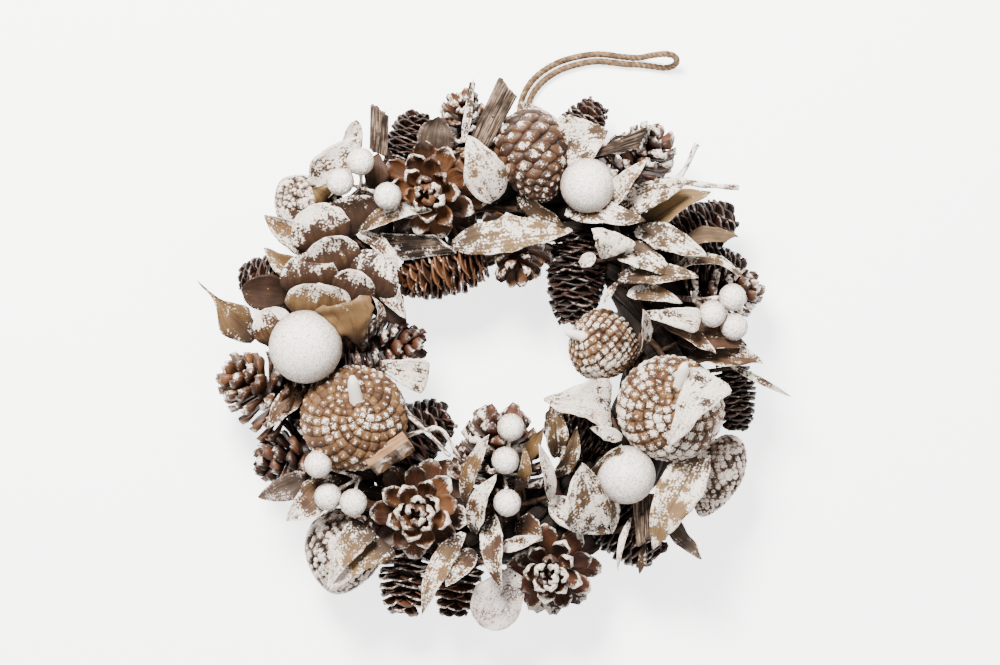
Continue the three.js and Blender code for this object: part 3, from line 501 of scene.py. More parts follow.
class Form:
    """A mesh in the making, with the marks that the finishes read."""

    def __init__(self, name: str, *finishes: str) -> None:
        """Starts an empty mesh that will wear those finishes."""
        self.name = name
        self.finishes = finishes
        self.bm = bmesh.new()
        for mark in MARKS:
            self.bm.verts.layers.float.new(mark)

    def set_marks(self, verts: Verts, **marks: float) -> None:
        """Gives every vertex of a list the same marks."""
        layers = self.bm.verts.layers.float
        for mark, value in marks.items():
            layer = layers[mark]
            for vert in verts:
                vert[layer] = value

    def stamp(self, pattern: bpy.types.Mesh, matrix: Matrix, tint: float, snow: float) -> None:
        """Adds a copy of a small mesh.

        Args:
            pattern: The mesh to copy.
            matrix: Where the copy goes, and its size.
            tint: Its mark for colour, 0 to 1.
            snow: How much paint it carries.
        """
        piece = pattern.copy()
        piece.transform(matrix)
        count = len(piece.vertices)
        piece.attributes["tint"].data.foreach_set("value", [tint] * count)
        piece.attributes["snow"].data.foreach_set("value", [snow] * count)
        self.bm.from_mesh(piece)
        bpy.data.meshes.remove(piece)

    def tube(self, path: list[Vector], radius: Callable[[float], float], sides: int = 8,
             lobes: Share | None = None, material: int = 0, tint: float = 0.5, snow: float = 0.0) -> None:
        """Adds a round piece that follows a path.

        Args:
            path: The points of its middle line.
            radius: Its radius in metres at a share of its length.
            sides: How many corners each ring has.
            lobes: A factor on the radius by angle and by distance along, for strands.
            material: The number of its finish.
            tint: Its mark for colour.
            snow: How much paint it carries.
        """
        layers = self.bm.verts.layers.float
        turn = Quaternion()
        ahead = UP.copy()
        before: list[bmesh.types.BMEdge] = []
        made: Faces = []
        gone = 0.0
        for k, centre in enumerate(path):
            share = k / (len(path) - 1)
            nearby = path[min(k + 1, len(path) - 1)] - path[max(k - 1, 0)]
            direction = nearby.normalized()
            turn = ahead.rotation_difference(direction) @ turn
            ahead = direction
            gone += (centre - path[k - 1]).length if k else 0.0
            place = Matrix.Translation(centre) @ turn.to_matrix().to_4x4()
            ring = bmesh.ops.create_circle(self.bm, segments=sides, radius=radius(share),
                                           matrix=place)["verts"]
            for i, vert in enumerate(ring):
                angle = math.tau * i / sides
                if lobes:
                    crown = lobes(angle, gone)
                    vert.co = centre + (vert.co - centre) * crown
                    vert[layers["rim"]] = smooth(crown, 0.88, 1.02)
                vert[layers["along"]] = share
                vert[layers["across"]] = angle / math.pi
            self.set_marks(ring, tint=tint, snow=snow)
            edges = list(dict.fromkeys(edge for vert in ring for edge in vert.link_edges))
            if before:
                made += bmesh.ops.bridge_loops(self.bm, edges=before + edges)["faces"]
            else:
                made += bmesh.ops.holes_fill(self.bm, edges=edges)["faces"]
            before = edges
        made += bmesh.ops.holes_fill(self.bm, edges=before)["faces"]
        for face in made:
            face.material_index = material

    def sheet(self, columns: int, rows: int, shape: Bend, rim: Share) -> tuple[Verts, Faces]:
        """Adds a thin sheet that is bent to a shape, to be thickened later.

        Args:
            columns: How many faces it has across.
            rows: How many faces it has along.
            shape: Its surface, from the share across, -1 to 1, and along, 0 to 1.
            rim: Its mark for the painted rim at that share.

        Returns:
            Its vertices and its faces.
        """
        layers = self.bm.verts.layers.float
        made = bmesh.ops.create_grid(self.bm, x_segments=columns, y_segments=rows, size=1.0)["verts"]
        for vert in made:
            u, v = vert.co.x, (vert.co.y + 1) / 2
            vert.co = shape(u, v)
            vert[layers["along"]] = v
            vert[layers["across"]] = u
            vert[layers["rim"]] = rim(u, v)
        return made, list(dict.fromkeys(face for vert in made for face in vert.link_faces))

    def to_mesh(self) -> bpy.types.Mesh:
        """Turns it into a finished mesh and lets the working copy go."""
        mesh = bpy.data.meshes.new(self.name)
        self.bm.to_mesh(mesh)
        self.bm.free()
        return mesh

    def finish(self, slot: Slot, replaces: str | None = None) -> bpy.types.Object:
        """Turns the mesh into a piece that rides on the wreath.

        Args:
            slot: The record's slot for the piece; not used.
            replaces: The CAD node that it stands for.

        Returns:
            The piece.
        """
        bmesh.ops.recalc_face_normals(self.bm, faces=self.bm.faces[:])
        self.bm.normal_update()
        # sky is how far each vertex faces up; the paint gathers where it is high, and the glitter paints
        # shade where it is low
        sky = self.bm.verts.layers.float["sky"]
        for vert in self.bm.verts:
            vert[sky] = max(vert.normal.z, 0.0)
        for face in self.bm.faces:
            face.smooth = True
        mesh = self.to_mesh()
        for finish in self.finishes:
            mesh.materials.append(dressed(finish))
        piece = add_object(self.name, mesh)
        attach(piece, "root")
        if replaces:
            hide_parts(replaces)
        LOG.info("%s: %d faces", self.name, len(mesh.polygons))
        return piece


def pattern(name: str, columns: int, rows: int, shape: Bend, depth: Share,
            marks: Callable[[float, float], tuple[float, float]]) -> bpy.types.Mesh:
    """Makes the small closed mesh of one scale, in shares of its own size.

    Args:
        name: Its name.
        columns: How many faces it has across.
        rows: How many faces it has along.
        shape: Its outer face, from the share across, -1 to 1, and along, 0 to 1.
        depth: How thick it is at that share.
        marks: Its marks for the painted rim and for how far it is from its root, at that share.

    Returns:
        The mesh, with X across, Y along and Z out of its outer face.
    """
    form = Form(name)
    layers = form.bm.verts.layers.float
    bmesh.ops.create_grid(form.bm, x_segments=columns, y_segments=rows, size=1.0)
    shares = {}
    for vert in form.bm.verts:
        u, v = vert.co.x, (vert.co.y + 1) / 2
        vert[layers["across"]] = u
        vert[layers["rim"]], vert[layers["along"]] = marks(u, v)
        vert[layers["sky"]] = depth(u, v)
        shares[vert] = (u, v)
    for vert, (u, v) in shares.items():
        vert.co = shape(u, v)
    whole = form.bm.faces[:] + form.bm.edges[:] + form.bm.verts[:]
    raised = bmesh.ops.extrude_face_region(form.bm, geom=whole, use_keep_orig=True)["geom"]
    for vert in raised:
        if isinstance(vert, bmesh.types.BMVert):
            vert.co.z -= vert[layers["sky"]]
    bmesh.ops.recalc_face_normals(form.bm, faces=form.bm.faces[:])
    return form.to_mesh()


def spoon_width(v: float) -> float:
    """Half the width of an open cone's scale, by the share of its length."""
    grown = 0.16 + 0.34 * smooth(v, 0.0, 0.72)
    return grown * math.sqrt(max(1 - max((v - 0.68) / 0.34, 0.0) ** 2, 0.0))


def spoon() -> bpy.types.Mesh:
    """The scale of an open cone: a spoon with a thick, rounded end."""
    def shape(u: float, v: float) -> Vector:
        """Hollow along its middle, with its end turned up."""
        lift = 0.09 * u * u * v + 0.10 * smooth(v, 0.7, 1.0) - 0.06 * v
        return Vector((u * spoon_width(v), v, lift))

    def depth(u: float, v: float) -> float:
        """Thin at its root and thick at its end."""
        return 0.045 + 0.085 * smooth(v, 0.55, 0.9) * (1 - 0.4 * u * u)

    def marks(u: float, v: float) -> tuple[float, float]:
        """Painted on its rounded end, and a little on its sides."""
        return max(smooth(v, 0.74, 0.95), 0.8 * smooth(abs(u), 0.6, 1.0) * smooth(v, 0.5, 0.75)), v

    return pattern("spoon_scale", 6, 6, shape, depth, marks)


def bract() -> bpy.types.Mesh:
    """The scale of a packed cone: a thin, wide plate with a wavy edge."""
    def shape(u: float, v: float) -> Vector:
        """Wide from early on, with a blunt end that droops at its corners."""
        half = (0.30 + 0.20 * smooth(v, 0.0, 0.5)) * (1 - 0.18 * smooth(v, 0.75, 1.0))
        reach = v * (1 - 0.13 * u * u)
        return Vector((u * half, reach, -0.10 * u * u * v + 0.05 * v + 0.03 * math.sin(5 * u) * v))

    def depth(u: float, v: float) -> float:
        """Nearly even."""
        return 0.055 + 0.03 * smooth(v, 0.7, 1.0)

    def marks(u: float, v: float) -> tuple[float, float]:
        """Painted on its outer edge alone."""
        return smooth(v, 0.88, 1.0), v

    return pattern("bract_scale", 4, 6, shape, depth, marks)


def shield() -> bpy.types.Mesh:
    """The scale of a closed cone: a low four-sided pyramid with a stud on its middle."""
    def shape(u: float, v: float) -> Vector:
        """A rounded diamond with a low stud, its free end a little raised."""
        w = 2 * v - 1
        far = max(abs(u), abs(w))
        round_u, round_w = u * math.sqrt(1 - w * w / 2), w * math.sqrt(1 - u * u / 2)
        x = 0.25 * (u - w) + 0.33 * (round_u - round_w)
        y = 0.25 * (u + w) + 0.33 * (round_u + round_w)
        height = 0.30 * (1 - far ** 3) + 0.12 * (1 - smooth(far, 0.0, 0.45)) + 0.12 * y
        return Vector((x, y, height - 0.10 * smooth(far, 0.85, 1.0)))

    def depth(u: float, v: float) -> float:
        """Deep enough to bury its foot."""
        return 0.28

    def marks(u: float, v: float) -> tuple[float, float]:
        """Painted on the stud; the along mark falls to 0 in the joint, where the finish paints shade."""
        far = max(abs(u), abs(2 * v - 1))
        return 1 - smooth(far, 0.1, 0.95), 1 - far

    return pattern("shield_scale", 4, 4, shape, depth, marks)


PATTERNS: dict[str, bpy.types.Mesh] = {"spoon": spoon(), "bract": bract(), "shield": shield()}


def turned(side: Vector, forward: Vector, up: Vector, place: Vector) -> Matrix:
    """A matrix from three axes, each as long as the size along it, and a place."""
    matrix = Matrix((side, forward, up)).transposed().to_4x4()
    matrix.translation = place
    return matrix


def standing(out: Vector, axis: Vector, rise: float) -> tuple[Vector, Vector, Vector]:
    """The side, forward and up axes of a scale that stands out from its cone.

    Args:
        out: The way out from the cone's axis.
        axis: The cone's axis.
        rise: How far the scale is raised towards the cone's tip, in radians.

    Returns:
        The three axes, each of length 1.
    """
    forward = out * math.cos(rise) + axis * math.sin(rise)
    up = axis * math.cos(rise) - out * math.sin(rise)
    return forward.cross(up), forward, up


# Outlines of cores, as shares of the cone's radius and height
OPEN_CORE = [(0.0, 0.0), (0.26, 0.03), (0.30, 0.3), (0.2, 0.68), (0.05, 0.86), (0.0, 0.9)]
PACKED_CORE = [(0.0, 0.0), (0.45, 0.05), (0.55, 0.4), (0.4, 0.75), (0.0, 0.96)]


@dataclass(frozen=True)
class Cone:
    """What every cone has: where it sits, how thick it is, and its finish."""

    name: str
    foot: Point
    tip: Point
    radius: float
    finish: str
    slot: Slot
    snow: float = 0.35
    seed: int = 1
    stalk: tuple[Point, Point] | None = None
    stalk_radius: float = 3.0

    def frame(self) -> tuple[Vector, Vector, float, Quaternion]:
        """Its foot, its axis, its height in metres, and the turn from +Z to its axis."""
        start, end = metres(self.foot), metres(self.tip)
        axis = (end - start).normalized()
        return start, axis, (end - start).length, UP.rotation_difference(axis)

    def build(self) -> None:
        """Builds the cone and puts it in the place of its CAD node."""
        form = Form(self.name, self.finish, "peg")
        self.grow(form, random.Random(self.seed))
        self.add_stalk(form)
        form.finish(self.slot, self.name)

    def grow(self, form: Form, rng: random.Random) -> None:
        """Adds the core and the scales, which each kind of cone does in its own way."""
        raise NotImplementedError

    def core(self, form: Form, profile: list[tuple[float, float]]) -> None:
        """Adds the smooth core that the scales grow from.

        Args:
            form: The mesh to add it to.
            profile: Its outline as shares of the radius and of the height, from foot to tip.
        """
        start, _, height, turn = self.frame()
        bm = form.bm
        first = len(bm.verts)
        corners = [bm.verts.new((r * self.radius * MM, 0, h * height)) for r, h in profile]
        edges = [bm.edges.new(pair) for pair in zip(corners, corners[1:])]
        bmesh.ops.spin(bm, geom=corners + edges, cent=(0, 0, 0), axis=UP, steps=CORE_SIDES,
                       angle=math.tau, use_merge=True, use_duplicate=False)
        bmesh.ops.remove_doubles(bm, verts=bm.verts[first:], dist=WELD)
        bm.verts.ensure_lookup_table()
        verts = bm.verts[first:]
        bmesh.ops.transform(bm, matrix=Matrix.Translation(start) @ turn.to_matrix().to_4x4(), verts=verts)
        # along 0 gives the buried core the full painted shade of a scale's root
        form.set_marks(verts, along=0.0, tint=0.2, snow=-1.0)

    def add_stalk(self, form: Form) -> None:
        """Adds the cut twig that the cone hung from."""
        if self.stalk:
            start, end = metres(self.stalk[0]), metres(self.stalk[1])
            form.tube(rounded_path([start, end], 6),
                      lambda t: self.stalk_radius * MM * (1.05 - 0.35 * t) * (1 - 0.5 * smooth(t, 0.93, 1.0)),
                      9, lambda a, d: 1 + 0.10 * math.sin(3 * a + 900 * d) + 0.05 * math.sin(7 * a),
                      material=1, snow=0.75)


@dataclass(frozen=True)
class OpenCone(Cone):
    """A cone whose scales stand wide open in a golden-angle spiral."""

    scales: int = 40
    turn: float = 0.0
    rise: tuple[float, float] = (-10.0, 76.0)
    width: tuple[float, float] = (0.58, 0.27)
    heart: float = 0.0
    taper: float = 0.55
    reach: float = 0.72

    def grow(self, form: Form, rng: random.Random) -> None:
        """Adds the core and the scales."""
        start, axis, height, turn = self.frame()
        self.core(form, OPEN_CORE)
        radius = self.radius * MM
        for i in range(self.scales):
            t = (i + 0.5) / self.scales
            angle = i * GOLDEN + self.turn + rng.uniform(-0.08, 0.08)
            rise = math.radians(self.rise[0] + (self.rise[1] - self.rise[0]) * t ** 1.5 + rng.uniform(-5, 5))
            out = turn @ Vector((math.cos(angle), math.sin(angle), 0))
            root = start + axis * height * (0.06 + self.reach * t) + out * radius * (0.17 - 0.14 * t)
            length = radius * (0.96 - self.taper * t ** 1.8) * (1 - 0.1 * t) * rng.uniform(0.94, 1.06)
            side, forward, up = standing(out, axis, rise)
            wide = radius * (self.width[0] + (self.width[1] - self.width[0]) * t) * rng.uniform(0.92, 1.08)
            matrix = turned(side * wide, forward * length, up * radius * 0.85, root)
            snow = self.snow + rng.uniform(-0.22, 0.22) + (self.heart - 0.1) * smooth(t, 0.6, 1.0)
            form.stamp(PATTERNS["spoon"], matrix, rng.random(), snow)


@dataclass(frozen=True)
class SideCone(OpenCone):
    """An open cone that lies on its side, so that its scales are seen from their backs."""

    scales: int = 48
    rise: tuple[float, float] = (4.0, 56.0)
    width: tuple[float, float] = (0.60, 0.40)
    taper: float = 0.3
    reach: float = 0.84


@dataclass(frozen=True)
class ClosedCone(Cone):
    """A closed cone: four-sided scales in a spiral over its whole surface."""

    scales: int = 170
    spread: float = 0.72
    fullness: float = 0.6
    flatness: float = 1.08
    jitter: float = 0.12

    def width_at(self, t: float) -> float:
        """Its radius in metres at a share of its height."""
        return self.radius * MM * max(math.sin(math.pi * min(max(t, 0.0), 1.0) ** 0.8), 0.0) ** self.fullness

    def grow(self, form: Form, rng: random.Random) -> None:
        """Adds the core and the scales."""
        start, axis, height, turn = self.frame()
        steps = 80
        widths = [self.width_at(k / steps) for k in range(steps + 1)]
        ends = [0.94 * width / (self.radius * MM) for width in widths]
        self.core(form, [(ends[k] if 0 < k < steps else 0.0, k / steps) for k in range(0, steps + 1, 5)])
        run = [0.0]
        for k in range(steps):
            run.append(run[-1] + math.hypot(widths[k + 1] - widths[k], height / steps))
        for i in range(self.scales):
            share = ((i + 0.5) / self.scales) ** self.spread
            goal = run[-1] * share
            k = next(j for j in range(1, steps + 1) if run[j] >= goal)
            part = (goal - run[k - 1]) / (run[k] - run[k - 1])
            t = (k - 1 + part) / steps
            here, ahead = self.width_at(t), self.width_at(t + 0.01)
            slope = Vector((ahead - here, 0.01 * height)).normalized()
            angle = i * GOLDEN + 0.12 * self.jitter * rng.uniform(-1, 1)
            out = turn @ Vector((math.cos(angle), math.sin(angle), 0))
            along = out * slope.x + axis * slope.y
            normal = out * slope.y - axis * slope.x
            gap = run[-1] * (((i + 1.0) / self.scales) ** self.spread - (i / self.scales) ** self.spread)
            size = 0.84 * math.sqrt(max(math.tau * here * gap, 1e-9))
            along.rotate(Quaternion(normal, 0.9 * self.jitter * rng.uniform(-1, 1)))
            side = normal.cross(along)
            grow = rng.uniform(1 - 0.25 * self.jitter, 1 + 0.25 * self.jitter)
            matrix = turned(side * size * self.flatness * grow, along * size * grow / self.flatness,
                            normal * size, start + axis * height * t + out * here * 0.985)
            form.stamp(PATTERNS["shield"], matrix, rng.random(), self.snow + rng.uniform(-0.18, 0.18))


@dataclass(frozen=True)
class PackedCone(Cone):
    """A cone of many thin scales in rows, dark between their edges."""

    rows: int = 13
    around: int = 8
    rise: float = 15.0

    def grow(self, form: Form, rng: random.Random) -> None:
        """Adds the core and the scales."""
        start, axis, height, turn = self.frame()
        self.core(form, PACKED_CORE)
        for row in range(self.rows):
            t = (row + 0.35) / self.rows
            reach = self.radius * MM * (math.sin(math.pi * (0.10 + 0.86 * t) ** 0.85) ** 0.5)
            for k in range(self.around):
                angle = math.tau * (k + 0.5 * (row % 2) + rng.uniform(-0.12, 0.12)) / self.around
                rise = math.radians(self.rise + 40 * t ** 3 + rng.uniform(-6, 6))
                out = turn @ Vector((math.cos(angle), math.sin(angle), 0))
                side, forward, up = standing(out, axis, rise)
                root = start + axis * height * (t * 0.9) + out * reach * 0.35
                length = reach * 0.66 / math.cos(rise) * rng.uniform(0.93, 1.05)
                wide = math.tau * reach / self.around * rng.uniform(1.2, 1.55)
                matrix = turned(side * wide, forward * length, up * self.radius * MM * 0.8, root)
                tint = rng.random()
                form.stamp(PATTERNS["bract"], matrix, tint, self.snow + rng.uniform(-0.4, 0.2))


@dataclass(frozen=True)
class Leaf:
    """One dry leaf or petal from its base to its tip, in millimetres."""

    base: Point
    tip: Point
    width: float
    roll: float = 0.0
    cup: float = 0.25
    bow: float = 0.12
    blunt: bool = False
    snow: float = 0.5
    tint: float = 0.5
    wave: float = 0.11
    curl: float = 0.08
    lopsided: float = 0.0
    tail: float = 0.0
    wedge: int = 0
    dip: float = 0.0
    grey: bool = False
    petiole: float = 1.5

    def half_width(self, v: float) -> float:
        """Half its width as a share of the widest place, by the share of its length."""
        if self.wedge:
            t = v if self.wedge > 0 else 1 - v
            return (0.08 + 0.92 * t ** 0.85) * max(1 - max((t - 0.9) / 0.13, 0.0) ** 2, 0.0) ** 0.5
        if self.blunt:
            body = min(1.0, 0.42 + 1.2 * v)
            return body * max(1 - max((v - 0.45) / 0.552, 0.0) ** 2.4, 0.0) ** 0.5
        body = max(math.sin(math.pi * (0.03 + 0.965 * v) ** 0.8), 0.0) ** 0.8
        return body * (1 - self.tail * smooth(v, 0.3, 0.75))

    def add_to(self, form: Form, stems: list[list[Vector]], seed: int) -> None:
        """Adds the leaf and its petiole to a spray.

        Args:
            form: The mesh of the spray.
            stems: The spray's stems.
            seed: What its waves start from.
        """
        start, end = metres(self.base), metres(self.tip)
        forward = (end - start).normalized()
        length = (end - start).length
        side = UP.cross(forward).normalized()
        side.rotate(Quaternion(forward, math.radians(self.roll)))
        normal = forward.cross(side).normalized()
        half = self.width * MM / 2
        wave = self.wave * (0.3 if self.blunt else 1.0)

        def shape(u: float, v: float) -> Vector:
            """Bent along and across, with waves and a rib."""
            w = self.half_width(v)
            right = u > 0
            sway = noise.noise(Vector((v * 2.6, seed * 1.7, 0.3))) * wave * 1.2
            ruffle = noise.noise(Vector((v * 4.5, seed * 2.3 + u * 1.4, 1.9)))
            edge = noise.noise(Vector((v * 7, seed * 3.1 + (2 if right else 0), 5.0)))
            wide = half * w * (1 + 1.5 * wave * edge) * (1 + self.lopsided * (1 if right else -1))
            lift = self.cup * half * w * abs(u) ** 1.7
            lift += 4 * self.bow * length * v * (1 - v)
            lift += half * wave * 2.6 * ruffle * u * u
            lift += self.curl * length * smooth(v, 0.7, 1.0) * (1 if seed % 2 else -1)
            lift -= 0.03 * half * math.exp(-((u / 0.14) ** 2))
            return start + forward * (v * length) + side * (u * wide + sway * half) + normal * lift

        def rim(u: float, v: float) -> float:
            """Painted at its sides and at its tip."""
            return max(smooth(abs(u), 0.68, 0.98), smooth(v, 0.86, 1.0))

        made, faces = form.sheet(*LEAF_GRID, shape, rim)
        form.set_marks(made, tint=self.tint)
        layers = form.bm.verts.layers.float
        for vert in made:
            vert[layers["snow"]] = self.snow + self.dip * smooth(vert[layers["along"]], 0.44, 0.82)
        for face in faces:
            face.material_index = 2 if self.grey else 0
        bmesh.ops.solidify(form.bm, geom=faces, thickness=LEAF_THICKNESS)
        stem = nearest_on(stems, start)
        if (stem - start).length > TOUCHING:
            form.tube(rounded_path([stem, start + forward * 0.06 * length], 4),
                      lambda t: self.petiole * MM * (1 - t / 3), 6, material=1, snow=0.2)


@dataclass(frozen=True)
class Petal(Leaf):
    """A broad petal with a blunt end, its sides bent down."""

    cup: float = -0.12
    blunt: bool = True


@dataclass(frozen=True)
class Spray:
    """A spray of leaves on stems that are seated on the ring."""

    name: str
    finish: str
    slot: Slot
    stems: tuple[tuple[Point, ...], ...]
    leaves: tuple[Leaf, ...]
    stem_radius: float = 1.8

    def build(self) -> None:
        """Builds the spray and puts it in the place of its CAD node."""
        form = Form(self.name, self.finish, "stem", "grey_leaf")
        stems = [[metres(p) for p in stem] for stem in self.stems]
        for stem in stems:
            form.tube(rounded_path(stem, 5), lambda t: self.stem_radius * MM, 7, material=1, snow=0.1)
        for number, leaf in enumerate(self.leaves):
            leaf.add_to(form, stems, number + len(self.name))
        form.finish(self.slot, self.name)


def ring_seat(angle: float, lean: float, lift: float = 0.0) -> Point:
    """A place on the base ring's surface, in millimetres.

    Args:
        angle: Its clock angle from +X, in degrees.
        lean: How far it leans from the top: -90 is the hole's side, 90 the outside.
        lift: How far it stands off the surface.

    Returns:
        The place.
    """
    around, over = math.radians(angle), math.radians(lean)
    reach = BaseRing.radius + (BaseRing.tube_radius + lift) * math.sin(over)
    height = BaseRing.height + (BaseRing.tube_radius + lift) * math.cos(over)
    return (reach * math.cos(around), reach * math.sin(around), height)


@dataclass(frozen=True)
class BaseRing:
    """The bundle of twisted vines that everything is glued to, flat at its back."""

    radius: float = 96.0
    tube_radius: float = 22.0
    height: float = 20.0
    outer_strands: int = 10
    strands: int = 13
    vine_radius: float = 4.6
    floor_margin: float = 1.13
    twists: float = 3.0

    def strand(self, number: int) -> list[Vector]:
        """The middle line of one vine, once round the ring and never under the floor."""
        rng = random.Random(number)
        bundle = self.tube_radius - self.vine_radius
        depth = 1.0 if number < self.outer_strands else 0.5
        path = []
        steps = 150
        for k in range(steps + 1):
            around = math.tau * k / steps
            over = math.tau * number / self.outer_strands + self.twists * around
            sway = 1 + 0.05 * math.sin(3 * around + number)
            reach = self.radius + depth * bundle * sway * math.cos(over)
            height = self.height + depth * bundle * sway * math.sin(over) + rng.uniform(-0.15, 0.15)
            height = max(height, self.floor_margin * self.vine_radius)
            path.append(metres((reach * math.cos(around), reach * math.sin(around), height)))
        path[-1] = path[0].copy()
        return path

    def build(self) -> None:
        """Builds the bundle and puts it in the place of its CAD node."""
        form = Form("base_ring", "vine")
        for number in range(self.strands):
            form.tube(self.strand(number),
                      lambda t: self.vine_radius * MM * (1 + 0.06 * math.sin(80 * t + number)), 9,
                      lambda a, d: 1 + 0.06 * math.sin(3 * a + 300 * d), tint=number / self.strands)
        form.finish(Slot.VINE, "base_ring")


@dataclass(frozen=True)
class Bauble:
    """A ball covered in glitter, on a peg from the ring."""

    name: str
    centre: Point
    radius: float
    root: Point
    peg_radius: float = 2.2
    crust: float = 0.09

    def build(self) -> None:
        """Builds the ball and puts it in the place of its CAD node."""
        form = Form(self.name, "glitter")
        root, centre = metres(self.root), metres(self.centre)
        add_ball(form, centre, self.radius * MM, 6, self.crust * MM)
        form.tube(rounded_path([root, centre], 4), lambda t: self.peg_radius * MM)
        form.finish(Slot.GLITTER, self.name)


def add_ball(form: Form, centre: Vector, radius: float, divisions: int, crust: float) -> None:
    """Adds a ball with an uneven crust.

    Args:
        form: The mesh to add it to.
        centre: Its middle, in metres.
        radius: Its radius, in metres.
        divisions: How finely it is divided.
        crust: How far the crust stands up and down, in metres.
    """
    made = bmesh.ops.create_icosphere(form.bm, subdivisions=divisions, radius=radius,
                                      matrix=Matrix.Translation(centre))["verts"]
    for vert in made:
        out = (vert.co - centre).normalized()
        rough = noise.noise(vert.co * 900) + 0.6 * noise.noise(vert.co * 2300)
        vert.co = centre + out * (radius + crust * rough)


@dataclass(frozen=True)
class BerrySpray:
    """Glitter berries on thin frosted stems from one knot."""

    name: str
    root: Point
    knot: Point
    berries: tuple[Point, ...]
    radius: float = 7.5
    stem: float = 1.1
    root_radius: float = 1.6
    crust: float = 0.28

    def build(self) -> None:
        """Builds the spray and puts it in the place of its CAD node."""
        form = Form(self.name, "glitter", "twig")
        root, knot = metres(self.root), metres(self.knot)
        form.tube(rounded_path([root, knot], 5), lambda t: self.root_radius * MM, material=1, snow=0.3)
        for number, berry in enumerate(self.berries):
            centre = metres(berry)
            add_ball(form, centre, self.radius * MM, 5, self.crust * MM)
            middle = knot.lerp(centre, 0.5) + Vector((0, 0, 1.5 * MM * (number - 1)))
            form.tube(rounded_path([knot, middle, centre], 5),
                      lambda t: self.stem * MM * (1 + 0.25 * math.sin(14 * t)), material=1, snow=0.4)
        form.finish(Slot.GLITTER, self.name)


@dataclass(frozen=True)
class Slab:
    """A flat piece of bark or split wood between four corners, on a peg from the ring."""

    name: str
    finish: str
    slot: Slot
    corners: tuple[Point, Point, Point, Point]
    thickness: float
    root: Point
    furrow: float = 0.5
    curve: float = 0.0
    snow: float = 0.0
    rind: str = ""
    peg_radius: float = 2.0

    def build(self) -> None:
        """Builds the slab and puts it in the place of its CAD node."""
        form = Form(self.name, self.finish, "stem", self.rind or self.finish)
        bm = form.bm
        layers = bm.verts.layers.float
        a, b, c, d = (metres(corner) for corner in self.corners)
        normal = (b - a).cross(d - a).normalized()
        normal = normal if normal.z > 0 else -normal
        letters = len(self.name)

        def shape(u: float, v: float) -> Vector:
            """Between the corners, with split ends and furrows along it."""
            split = 0.05 * noise.noise(Vector((u * 3.0, letters, 3.0)))
            across = (u + 1) / 2
            at = min(max(v + split * (1 if v > 0.5 else -1), -0.1), 1.1)
            place = a.lerp(b, across).lerp(d.lerp(c, across), at)
            ridge = noise.noise(Vector((u * 5.0, v * 1.3, letters * 0.7)))
            ridge += 0.5 * noise.noise(Vector((u * 12.0, v * 3.0, 4.0)))
            return place + normal * MM * (self.furrow * ridge - self.curve * u * u)

        def rim(u: float, v: float) -> float:
            """Frosted at its edges."""
            return max(smooth(abs(u), 0.85, 1.0), smooth(abs(2 * v - 1), 0.9, 1.0))

        made, faces = form.sheet(*SLAB_GRID, shape, rim)
        form.set_marks(made, tint=0.1 * letters % 1.0, snow=self.snow)
        if (b - a).cross(d - a).z < 0:
            bmesh.ops.reverse_faces(bm, faces=faces)
        bm.normal_update()
        bmesh.ops.solidify(bm, geom=faces, thickness=self.thickness * MM)
        for face in bm.faces:
            if all(vert[layers["across"]] > 0.99 for vert in face.verts):
                face.material_index = 2
        middle = (a + b + c + d) / 4 - normal * self.thickness * MM * 0.4
        form.tube(rounded_path([metres(self.root), middle], 3), lambda t: self.peg_radius * MM, material=1)
        form.finish(self.slot, self.name)


@dataclass(frozen=True)
class Twigs:
    """Thin sticks, each along its own route."""

    name: str
    branches: tuple[tuple[tuple[Point, ...], float], ...]
    snow: float = 0.2

    def build(self) -> None:
        """Builds the sticks and puts them in the place of their CAD node."""
        form = Form(self.name, "twig")
        for number, (route, radius) in enumerate(self.branches):
            points = rounded_path([metres(p) for p in route], 8)
            bent = [p + Vector((noise.noise(p * 90), noise.noise(p * 90 + UP * 5), 0)) * 0.8 * MM
                    for p in points]
            bent[0], bent[-1] = points[0], points[-1]
            form.tube(bent, lambda t: radius * MM * (1.15 - 0.4 * t) * (1 + 0.16 * math.sin(21 * t + number)),
                      9, lambda a, d: 1 + 0.08 * math.sin(2 * a + 500 * d), snow=self.snow)
        form.finish(Slot.TWIG, self.name)


